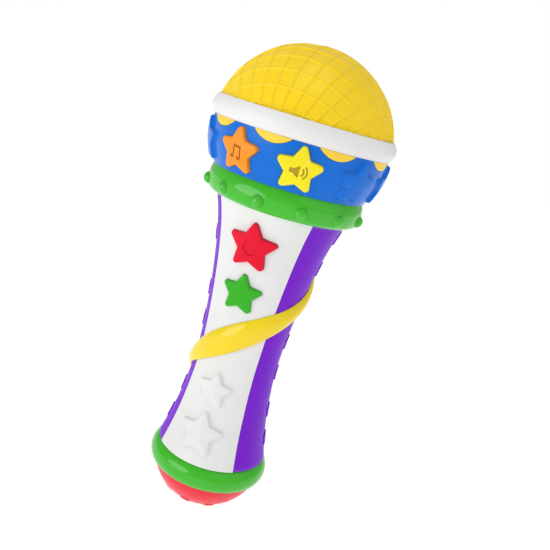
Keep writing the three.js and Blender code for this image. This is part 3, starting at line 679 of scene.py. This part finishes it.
def spot_ring():
    """Discs that show below the rim, held by a hoop behind the band that clears the pressed buttons."""
    top = RIM_LOW[2] - 1.2 * HAIRLINE
    disc = raised(disc_outline(SPOT_RADIUS), -HOOP_DEPTH - HOOP_THICKNESS / 2, 0.25, 0.2)
    discs = [draped(disc, spot_base(index), head_wall) for index in range(SPOTS)]
    made = new_object("spot_discs", merged(discs), MATERIALS["spot_yellow"])
    trim(made, top, above=True, fill=True)
    outer = head_wall(top) - HOOP_DEPTH
    inner = outer - HOOP_THICKNESS
    bottom = top - HOOP_HEIGHT
    hoop = filleted([(inner, bottom, 0.3), (outer, bottom, 0.3), (outer, top, 0), (inner, top, 0)], steps=3)
    carve(made, turned(hoop), "UNION")
    settle(made, "spot_yellow", BODY, "spot_ring")


COLLAR_UNDERSIDE = 29.9
COLLAR_BULGE = {"middle": 142.8, "radius": 32.9, "curve": 10}
COLLAR_BUMPS = 12
BUMP_RADIUS = 2.5
BUMP_PLACE = {"radius": 32.1, "height": 141.2}


def collar_ring():
    inner = THROAT_RADIUS + GAP
    low, high = HANDLE_TOP + HAIRLINE, BAND_LOW[2] - HAIRLINE
    outline = filleted([
        (inner, low, 0), (COLLAR_UNDERSIDE, low, 1.4), *bulge(**COLLAR_BULGE, low=low + 1.3, high=high),
        (inner, high, 0),
    ], steps=8)
    made = new_object("collar_bumps", turned(outline), MATERIALS["green_plastic"])
    spacing = 360 / COLLAR_BUMPS
    bumps = [moved(ball(BUMP_RADIUS), polar(index * spacing, **BUMP_PLACE)) for index in range(COLLAR_BUMPS)]
    carve(made, merged(bumps), "UNION")
    settle(made, "green_plastic", BODY, "collar_ring")


# ---------------------------------------------------------------- handle
SEAM = 89.7
PANEL_CLEARANCE = 0.25
EDGE_ROUND = 0.18
GRIP_DEPTH = 1.9
GRIP_BACKING = 1.7
NECK_RADIUS = 21.3
THROAT_RADIUS = 26.9
RED_STAR = {"radius": 10.3, "tip_round": 1.2}
RED_STAR_HEIGHT = 121.9
GREEN_STAR = {"radius": 8.6, "tip_round": 1.1}
GREEN_STAR_HEIGHT = 101.5
WHITE_STARS = [(57.3, 7.5, 1.0), (37.5, 9.7, 1.1)]
LEFT_GRIP_STARS = (-76, (119, 95, 81, 49, 34.5))
RIGHT_GRIP_STARS = (104, (131, 116, 81, 66, 48, 34.5))
GRIP_STAR = {"radius": 3.6, "tip_round": 0.6, "valley_round": 0.9}
GRIP_STAR_PROUD = 0.5
CASE_SCREWS = [(155, 130.6), (205, 114.9), (205, 31), (155, 46.6)]
SCREW_HEAD = 2.3
SCREW_BORE = 1.4
SCREW_SINK = 0.7
SCREW_SEAT = 2.5
RIBBON_MIDDLE = 80.8
RIBBON_RISE = 13.0
RIBBON_BEND = math.radians(110)
RIBBON_CLIMB = 2.4
RIBBON_END = 227
RIBBON_HALF_WIDTH = 6.8
RIBBON_TAPER = 0.34
RIBBON_SAG = 0.9
RIBBON_EDGE = 0.4
RIBBON_CROWN = 1.8
RIBBON_LEAN = 0.3


def edge_drop(distance):
    """How far a rounded edge has fallen at a distance in from it."""
    inside = np.clip(EDGE_ROUND - distance, 0, EDGE_ROUND)
    return EDGE_ROUND - np.sqrt(EDGE_ROUND ** 2 - inside ** 2)


def across_panel(first, last, steps):
    """Azimuths over a panel, crowded at its two rounded edges."""
    fine = np.degrees(EDGE_ROUND * np.array((0.04, 0.15, 0.35, 0.65, 1.0)) / handle_wall(66))
    return np.unique(np.concatenate([np.linspace(first, last, steps), first + fine, last - fine]))


def up_handle():
    """Heights up the handle, doubled where the neck and the throat step in."""
    body = np.linspace(HANDLE_BOTTOM, HANDLE_TOP, 90)
    return np.concatenate([[SHELL_LOW[2], HANDLE_BOTTOM - 0.02], body, [HANDLE_TOP + 0.02, SHELL_HIGH[2]]])


def shell_outer(azimuths, height):
    under_grip = np.abs(azimuths) > GRIP_EDGE
    if height < HANDLE_BOTTOM:
        return np.full(len(azimuths), NECK_RADIUS)
    if height > HANDLE_TOP:
        return np.where(under_grip, THROAT_RADIUS - 1.2, THROAT_RADIUS)
    radius = handle_wall(height)
    rounding = edge_drop(np.radians(GRIP_EDGE - np.abs(azimuths)) * radius)
    return np.where(under_grip, radius - GRIP_DEPTH, radius - rounding)


def shell_inner(azimuths, height):
    if height < HANDLE_BOTTOM:
        return np.full(len(azimuths), NECK_RADIUS - WALL)
    if height > HANDLE_TOP:
        return np.full(len(azimuths), THROAT_RADIUS - WALL - GRIP_BACKING)
    under_grip = np.abs(azimuths) > GRIP_EDGE
    return handle_wall(height) - np.where(under_grip, GRIP_DEPTH + GRIP_BACKING, WALL)


def half_shell(name, facing):
    """Half of the handle. It steps in behind the grips, where the two halves meet."""
    side = np.linspace(GRIP_EDGE + 0.02, SEAM, 12)
    azimuths = np.concatenate([-side[::-1], across_panel(-GRIP_EDGE, GRIP_EDGE, 61), side])
    points, faces = panel(azimuths, up_handle(), shell_outer, shell_inner)
    turn = np.array(Matrix.Rotation(math.radians(facing), 3, "Z"))
    return new_object(name, (points @ turn.T, faces), MATERIALS["white_plastic"])


def front_shell():
    made = half_shell("front_shell_stars", 0)
    carve(made, star_hole(0, RED_STAR_HEIGHT, handle_wall, RED_STAR), "DIFFERENCE")
    carve(made, star_hole(0, GREEN_STAR_HEIGHT, handle_wall, GREEN_STAR), "DIFFERENCE")
    for height, radius, tip_round in WHITE_STARS:
        star = raised(star_outline(radius, tip_round, 1.6), -0.8, 1.7, 0.85, crown=0.4, foot=0.85)
        carve(made, draped(star, stand(0, height, handle_wall), handle_wall), "UNION")
    settle(made, "white_plastic", BODY, "front_shell")


def screw_base(azimuth, height):
    """Frame at a screw, with Z pointing straight back."""
    axes = np.column_stack([(-1, 0, 0), (0, 0, 1), (0, 1, 0)])
    return axes, polar(azimuth, handle_wall(height), height)


def rod(radius, low, high):
    return prism(disc_outline(radius, 40)[0], low, high)


def screw_hole(base, depth):
    """Bore for a screw, with a wider recess for its head, as one stepped tool."""
    head = SCREW_HEAD + 0.2
    steps = [(0, -depth), (SCREW_BORE, -depth), (SCREW_BORE, -SCREW_SEAT), (head, -SCREW_SEAT), (head, 4), (0, 4)]
    return placed(turned(steps, 48), base)


def rear_shell():
    made = half_shell("rear_shell_plain", 180)
    bases = [screw_base(*spot) for spot in CASE_SCREWS]
    carve(made, merged([placed(rod(3.6, -10, -2.45), base) for base in bases]), "UNION")
    carve(made, merged([screw_hole(base, 11) for base in bases]), "DIFFERENCE")
    opening = panel(
        np.linspace(180 - 38.6, 180 + 38.6, 40), np.linspace(DOOR_LOW[2] - 0.2, DOOR_HIGH[2] + 0.2, 30),
        lambda azimuths, height: np.full(len(azimuths), handle_wall(height) + 3),
        lambda azimuths, height: np.full(len(azimuths), handle_wall(height) - 6))
    carve(made, opening, "DIFFERENCE")
    settle(made, "white_plastic", BODY, "rear_shell")


def side_grip(name, node, side, column):
    first, last = GRIP_EDGE + PANEL_CLEARANCE, 180 - GRIP_EDGE - PANEL_CLEARANCE
    azimuths = across_panel(first, last, 56)

    def outer(columns, height):
        away = np.minimum(np.abs(columns) - first, last - np.abs(columns))
        return handle_wall(height) - edge_drop(np.radians(away) * handle_wall(height))

    def inner(columns, height):
        return np.full(len(columns), handle_wall(height) - GRIP_DEPTH + GAP)

    heights = np.linspace(HANDLE_BOTTOM + GAP, HANDLE_TOP - GAP, 90)
    made = new_object(name, panel(side * azimuths, heights, outer, inner), MATERIALS["purple_plastic"])
    star = raised(star_outline(**GRIP_STAR), -0.6, GRIP_STAR_PROUD, 0.2, foot=0.2)
    azimuth, rows = column
    stars = [draped(star, stand(azimuth, height, handle_wall), handle_wall) for height in rows]
    carve(made, merged(stars), "UNION")
    settle(made, "purple_plastic", BODY, node)


def ribbon_height(azimuth):
    """Middle of the ribbon. It sags at the sides, and climbs faster past each bend, round the back."""
    turn = math.radians(azimuth)
    past = max(0.0, abs(turn) - RIBBON_BEND)
    climb = RIBBON_RISE * turn + math.copysign(RIBBON_CLIMB * past ** 2, turn)
    return RIBBON_MIDDLE + climb - RIBBON_SAG * math.sin(turn) ** 2


def spiral_ribbon():
    """Soft crowned band wound once round the handle, tucked under the collar and the base ring.
    Its lower edge stands a little prouder than its upper one."""
    low, high = span("spiral_ribbon")
    across = np.sin(np.radians(np.linspace(-90, 90, 33)))
    rise = RIBBON_EDGE + RIBBON_CROWN * (1 - across ** 2) ** 0.8 - RIBBON_LEAN * across
    loops = []
    for azimuth in np.linspace(-RIBBON_END, RIBBON_END, 260):
        half_width = RIBBON_HALF_WIDTH * (1 - RIBBON_TAPER * math.sin(math.radians(azimuth)) ** 2)
        heights = np.clip(ribbon_height(azimuth) + across * half_width, low[2], high[2])
        wall = handle_wall(heights) + GAP / 2
        front = polar(azimuth, wall + rise, heights)
        back = polar(azimuth, wall, heights)
        loops.append(np.vstack([front, back[::-1]]))
    made = new_object("ribbon_band", skin(loops), MATERIALS["ribbon_yellow"])
    settle(made, "ribbon_yellow", BODY, "spiral_ribbon")


BASE_BULGE = {"middle": 18.6, "radius": 26.6, "curve": 6.6}
BASE_UNDERSIDE = 24.4
BASE_LEDGE = 23.4


def base_ring():
    inner = NECK_RADIUS + GAP
    low, high = BASE_LOW[2], HANDLE_BOTTOM - HAIRLINE
    outline = filleted([
        (inner, low, 0), (BASE_UNDERSIDE, low, 0.5), *bulge(**BASE_BULGE, low=low + 0.5, high=high - 0.5),
        (BASE_LEDGE, high, 0.2), (inner, high, 0),
    ])
    made = new_object("base_band", turned(outline), MATERIALS["green_plastic"])
    settle(made, "green_plastic", BODY, "base_ring")


CAP_RADIUS = 25.2
FOOT_RADIUS = 12.64
CAP_TOP = BASE_LOW[2] - HAIRLINE
CAP_DOT_HEIGHT = 1.9


def base_cap():
    centre = math.sqrt(CAP_RADIUS ** 2 - FOOT_RADIUS ** 2)
    inside = CAP_RADIUS - WALL
    spigot = NECK_RADIUS - WALL - GAP

    def turn(radius, height):
        return math.degrees(math.asin((height - centre) / radius))

    outside = arc((0, centre), CAP_RADIUS, turn(CAP_RADIUS, 0), turn(CAP_RADIUS, CAP_TOP), 24)
    lining = arc((0, centre), inside, turn(inside, CAP_TOP - 1), turn(inside, WALL), 20)
    outline = filleted([
        (0, 0, 0), (*outside[0][:2], 0.35), *outside[1:-1], (*outside[-1][:2], 0.3),
        (spigot, CAP_TOP, 0), (spigot, CAP_HIGH[2], 0.3), (spigot - 2, CAP_HIGH[2], 0.3),
        (spigot - 2, CAP_TOP, 0), *lining, (0, WALL, 0),
    ], steps=4)
    made = new_object("cap_dots", turned(outline), MATERIALS["cap_red"])

    def wall(height):
        return np.sqrt(CAP_RADIUS ** 2 - (height - centre) ** 2)

    dots = [placed(ball(2.4, 0.2), stand(index * HEAD_SPACING, CAP_DOT_HEIGHT, wall)) for index in range(SPOTS)]
    carve(made, merged(dots), "UNION")
    settle(made, "cap_red", BODY, "base_cap")


# ---------------------------------------------------------------- buttons
def star_button(name, colour, base, wall, star, proud, post):
    """Raised star with a round flange behind the wall and a post that reaches for its switch."""
    face = raised(star_outline(**star), -BUTTON_DEPTH + 0.5, proud, 0.55, crown=0.3)
    made = new_object(name, draped(face, base, wall), MATERIALS[colour])
    flange = prism(disc_outline(star["radius"] * FLANGE_SHARE)[0], -BUTTON_DEPTH, -WALL - 2 * GAP, "fan")
    carve(made, draped(flange, base, wall), "UNION")
    carve(made, placed(rod(2, -post, -BUTTON_DEPTH + 1), base), "UNION")
    return made


ICON_DEPTH = 0.2


def note_icon():
    """Two stems under one beam, and the two heads at their feet."""
    stroke = 0.55
    left, right = -1.25, 2.35
    heads = [disc_outline(0.85, 24)[0] * (1.2, 0.85) + offset for offset in ((-1.6, -1.9), (1.5, -2.3))]
    outside = [(left, -1.9), (left, 2.7), (right, 2.3), (right, -2.3)]
    inside = [(right - stroke, -2.3), (right - stroke, 1.5), (left + stroke, 1.8), (left + stroke, -1.9)]
    return [np.array(outside + inside), *heads]


def speaker_icon():
    """A loudspeaker and two sound waves."""
    horn = np.array([(-3.4, -0.9), (-1.9, -0.9), (0.2, -2.4), (0.2, 2.4), (-1.9, 0.9), (-3.4, 0.9)])
    turns = np.radians(np.linspace(-46, 46, 13))
    waves = []
    for radius in (1.6, 2.9):
        line = np.column_stack([np.cos(turns), np.sin(turns)])
        waves.append(np.vstack([line * (radius + 0.6), line[::-1] * radius]))
    return [horn, *waves]


def engrave(made, icon, base, wall, face_height, ink):
    for outline in icon:
        carve(made, draped(prism(outline, face_height - ICON_DEPTH, face_height + 1.5), base, wall), "DIFFERENCE", ink)


def head_button(name, node, body, colour, azimuth, icon, ink):
    base = stand(azimuth, HEAD_STAR_HEIGHT, head_wall)
    made = star_button(name, colour, base, head_wall, HEAD_STAR, HEAD_STAR_PROUD, 9)
    engrave(made, icon, base, head_wall, HEAD_STAR_PROUD + 0.2, ink)
    settle(made, colour, body, node)


DISH_RADIUS = 3.1
DISH_FLOOR = 1.5


def red_button():
    """The largest star, with a shallow round dish in its face."""
    base = stand(0, RED_STAR_HEIGHT, handle_wall)
    made = star_button("star_red", "button_red", base, handle_wall, RED_STAR, 1.8, 9.2)
    dish = filleted([
        (0, DISH_FLOOR, 0), (DISH_RADIUS, DISH_FLOOR, 0.5), (DISH_RADIUS + 0.15, 4, 0), (0, 4, 0)])
    carve(made, draped(turned(dish, 64), base, handle_wall), "DIFFERENCE")
    settle(made, "button_red", "red_key", "red_star_button")


def green_button():
    base = stand(0, GREEN_STAR_HEIGHT, handle_wall)
    made = star_button("star_green", "button_green", base, handle_wall, GREEN_STAR, 1.6, 7)
    settle(made, "green_plastic", "green_key", "green_star_button")


# ---------------------------------------------------------------- battery door and screws
def battery_door():
    azimuths = np.linspace(180 - 38, 180 + 38, 60)
    heights = np.linspace(DOOR_LOW[2], DOOR_HIGH[2], 60)

    def outer(columns, height):
        sides = (38 - np.abs(columns - 180)) / 57.3 * handle_wall(height)
        ends = min(height - DOOR_LOW[2], DOOR_HIGH[2] - height)
        return handle_wall(height) - edge_drop(np.minimum(sides, ends))

    plate = panel(azimuths, heights, outer, lambda columns, height: np.full(len(columns), handle_wall(height) - WALL))
    made = new_object("door_panel", plate, MATERIALS["white_plastic"])
    low, high = span("door_screw")
    base = screw_base(180, (low[2] + high[2]) / 2)
    carve(made, placed(rod(3.2, -4.2, -1), base), "UNION")
    carve(made, screw_hole(base, 6), "DIFFERENCE")
    settle(made, "white_plastic", "door", "battery_door")


def screw(name, node, body, base):
    """Pan-head screw with a cross recess."""
    under = -SCREW_SINK - 1.5
    outline = filleted([
        (0, -SCREW_SINK, 0), (SCREW_HEAD, -SCREW_SINK, 0.7), (SCREW_HEAD, under, 0.1), (1.1, under, 0),
        (1.1, under - 4.6, 0), (0, under - 5.5, 0),
    ], steps=5)
    made = new_object(name, placed(turned(outline, 48), base), MATERIALS["screw_steel"])
    for across, along in ((0.32, 1.45), (1.45, 0.32)):
        arm = np.array([(-across, -along), (across, -along), (across, along), (-across, along)])
        carve(made, placed(prism(arm, -SCREW_SINK - 0.8, 0), base), "DIFFERENCE")
    settle(made, "screw_steel", body, node)


# ---------------------------------------------------------------- inside
def cell(name, node, upright):
    """AAA cell: steel can in a printed sleeve, with its nub and its flat end."""
    low, high = span(node)
    centre = (low + high) / 2
    radius = (high[0] - low[0]) / 2
    length = high[2] - low[2]
    outline = filleted([
        (0, 0.2, 0), (radius - 1.1, 0.2, 0.2), (radius - 0.9, 0, 0.1), (radius, 0, 0.5),
        (radius, length - 0.9, 0.5), (radius - 0.9, length - 0.9, 0.1), (radius - 1.1, length - 1.1, 0.1),
        (1.9, length - 1.1, 0.1), (1.9, length, 0.3), (0, length, 0),
    ], steps=4)
    points, faces = turned(outline, 64)
    if not upright:
        points = points * (1, -1, -1) + (0, 0, length)
    made = new_object(name, moved((points, faces), (centre[0], centre[1], low[2])), MATERIALS["battery_case"])
    made.data.materials.append(MATERIALS["contact_metal"])
    for face in made.data.polygons:
        steel = abs(face.normal.z) > 0.7 or math.hypot(
            face.center.x / MM - centre[0], face.center.y / MM - centre[1]) < radius - 0.8
        face.material_index = int(steel)
    settle(made, "battery_case", BODY, node)


def cone_spring(name, node, points_up):
    low, high = span(node)
    centre = (low + high) / 2
    wire = 0.27
    section = np.radians(np.arange(10) * 36)
    loops = []
    for t in np.linspace(0, 1, 120):
        angle = 2 * math.pi * 2.5 * t
        radial = np.array((math.cos(angle), math.sin(angle), 0))
        middle = radial * (3.2 - 1.6 * t) + (0, 0, wire + (high[2] - low[2] - 2 * wire) * t)
        loops.append(middle + wire * (np.outer(np.cos(section), radial) + np.outer(np.sin(section), (0, 0, 1))))
    points, faces = skin(loops, "fan")
    if not points_up:
        points = points * (1, -1, -1) + (0, 0, high[2] - low[2])
    made = new_object(name, moved((points, faces), (centre[0], centre[1], low[2])), MATERIALS["screw_steel"])
    settle(made, "screw_steel", BODY, node)


def loudspeaker():
    """Basket, magnet, cone and the tray that holds them, turned about the toy's own axis."""
    outlines = {
        "speaker_tray": ("white_plastic", [(21, 168.4, 0.3), (33.5, 168.4, 0.3), (33.5, 170.4, 0.3), (21, 170.4, 0.3)]),
        "speaker_frame": ("inner_grey", [
            (24, 170.7, 0.2), (24, 171.7, 0.2), (19.6, 171.7, 0.2), (18.6, 170.2, 0), (11.2, 160.6, 0.4),
            (5, 160.6, 0.2), (5, 159.6, 0.2), (12, 159.6, 0.8), (19.4, 169.4, 0), (20.2, 170.7, 0.2)]),
        "speaker_magnet": ("screw_steel", [(0, 150.6, 0), (11, 150.6, 0.6), (11, 159.3, 0.6), (0, 159.3, 0)]),
        "speaker_cone": ("speaker_paper", [
            (0, 163.4, 0), (4, 163.2, 0.5), (7, 161.6, 0.4), (17.4, 171.2, 0.3), (18.4, 171.9, 0.2),
            (18.2, 172.4, 0.2), (17, 172, 0.3), (7, 162.4, 0.4), (4.4, 164, 0.5), (0, 164.2, 0)]),
    }
    for node, (slot, corners) in outlines.items():
        made = new_object(f"{node}_turned", turned(filleted(corners, 4), 96), MATERIALS[slot])
        settle(made, slot, BODY, node)


# CAD nodes that keep their own shape, with their edges softened, and the slot each one wears.
KEPT_NODES = {
    "battery_box": "inner_grey", "main_board": "circuit_board", "head_board": "circuit_board",
    "sound_chip": "switch_black", "music_switch": "switch_black", "volume_switch": "switch_black",
    "red_star_switch": "switch_black", "green_star_switch": "switch_black",
    "contact_bridge": "contact_metal", "contact_minus": "contact_metal", "contact_plus": "contact_metal",
}


def dress_kept_nodes():
    for node, slot in KEPT_NODES.items():
        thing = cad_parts[node]
        thing.data.materials.clear()
        thing.data.materials.append(MATERIALS[slot])
        soften = thing.modifiers.new("soften", "BEVEL")
        soften.width = 0.15 * MM
        soften.segments = 2
        soften.limit_method = "ANGLE"
        soften.angle_limit = math.radians(40)


def build_object():
    dome()
    rim_ring()
    head_band()
    spot_ring()
    collar_ring()
    front_shell()
    rear_shell()
    side_grip("grip_left_stars", "grip_left", -1, LEFT_GRIP_STARS)
    side_grip("grip_right_stars", "grip_right", 1, RIGHT_GRIP_STARS)
    spiral_ribbon()
    base_ring()
    base_cap()
    head_button(
        "star_orange", "music_button", "music_key", "button_orange", -HEAD_SPACING / 2, note_icon(), ICON_ORANGE)
    head_button(
        "star_yellow", "volume_button", "volume_key", "button_yellow", HEAD_SPACING / 2, speaker_icon(), ICON_YELLOW)
    red_button()
    green_button()
    battery_door()
    for index, spot in enumerate(CASE_SCREWS, 1):
        screw(f"case_screw_{index}_cross", f"case_screw_{index}", BODY, screw_base(*spot))
    low, high = span("door_screw")
    screw("door_screw_cross", "door_screw", "door", screw_base(180, (low[2] + high[2]) / 2))
    cell("cell_left", "battery_1", True)
    cell("cell_right", "battery_2", False)
    cone_spring("spring_lower_coil", "spring_lower", True)
    cone_spring("spring_upper_coil", "spring_upper", False)
    loudspeaker()
    dress_kept_nodes()


# ---------------------------------------------------------------- floor, light and camera
FLOOR_RADIUS = 4000
CAMERA_AZIMUTH = 16.5
CAMERA_DISTANCE = 290
CAMERA_HEIGHT = 180.8
CAMERA_YAW = 1.1
CAMERA_PITCH = 14.1
CAMERA_ROLL = 16.7
LENS = 45.8


def lay_floor():
    """A wide pale sweep with a faint grain, level with the foot."""
    material = bpy.data.materials.new("floor_pale")
    material.use_nodes = True
    tree = material.node_tree
    shader = tree.nodes["Principled BSDF"]
    place = add_node(tree, "ShaderNodeTexCoord").outputs["Object"]
    tone = mixed(tree, noise(tree, place, 6, 3), (0.23, 0.23, 0.23, 1), (0.27, 0.27, 0.27, 1))
    tree.links.new(tone, shader.inputs["Base Color"])
    shader.inputs["Roughness"].default_value = 0.9
    shader.inputs["Specular IOR Level"].default_value = 0.1
    shader.inputs["Emission Color"].default_value = (1, 1, 1, 1)
    shader.inputs["Emission Strength"].default_value = 0.92
    sheet = prism(disc_outline(FLOOR_RADIUS, 96)[0], -10, CAP_LOW[2] - 0.02, "fan")
    new_object("floor", sheet, material)


def softbox(name, azimuth, elevation, distance, width, height, power):
    """Large soft lamp, aimed at the middle of the toy."""
    lamp = bpy.data.lights.new(name, "AREA")
    lamp.shape = "ELLIPSE"
    lamp.size = width * MM
    lamp.size_y = height * MM
    lamp.energy = power
    made = bpy.data.objects.new(name, lamp)
    bpy.context.scene.collection.objects.link(made)
    rise = math.radians(elevation)
    middle = (cad_box[0] + cad_box[1]) / 2
    offset = polar(azimuth, distance * math.cos(rise), distance * math.sin(rise)) * MM
    made.location = middle + Vector(offset)
    made.rotation_euler = Vector(offset).to_track_quat("Z", "Y").to_euler()


def light_world():
    """White surroundings that the camera sees in full and the toy is lit by a little less."""
    world = bpy.data.worlds.new("studio")
    world.use_nodes = True
    bpy.context.scene.world = world
    tree = world.node_tree
    background = tree.nodes["Background"]
    seen = add_node(tree, "ShaderNodeLightPath").outputs["Is Camera Ray"]
    tree.links.new(ranged(tree, seen, 0, 1, 0.56, 1.0), background.inputs["Strength"])
    background.inputs["Color"].default_value = (1, 1, 1, 1)


def place_camera():
    lens = bpy.data.cameras.new("camera")
    lens.lens = LENS
    lens.sensor_width = 36
    lens.clip_start = 10 * MM
    lens.clip_end = 3 * FLOOR_RADIUS * MM
    made = bpy.data.objects.new("camera", lens)
    bpy.context.scene.collection.objects.link(made)
    heading = math.radians(CAMERA_AZIMUTH - CAMERA_YAW)
    pitch = math.radians(CAMERA_PITCH)
    roll = math.radians(CAMERA_ROLL)
    forward = Vector((
        -math.sin(heading) * math.cos(pitch), math.cos(heading) * math.cos(pitch), -math.sin(pitch)))
    right = forward.cross(Vector((0, 0, 1))).normalized()
    up = right.cross(forward)
    rolled_right = math.cos(roll) * right + math.sin(roll) * up
    rolled_up = math.cos(roll) * up - math.sin(roll) * right
    matrix = Matrix((rolled_right, rolled_up, -forward)).transposed().to_4x4()
    matrix.translation = Vector(polar(CAMERA_AZIMUTH, CAMERA_DISTANCE, CAMERA_HEIGHT) * MM)
    made.matrix_world = matrix
    bpy.context.scene.camera = made


build_object()
lay_floor()
softbox("key", -32, 6, 500, 430, 290, 0.74)
softbox("fill", 78, 38, 900, 1200, 1200, 1.1)
softbox("top", 0, 80, 900, 500, 500, 1.3)
light_world()
place_camera()
bpy.context.scene.view_settings.view_transform = "Standard"
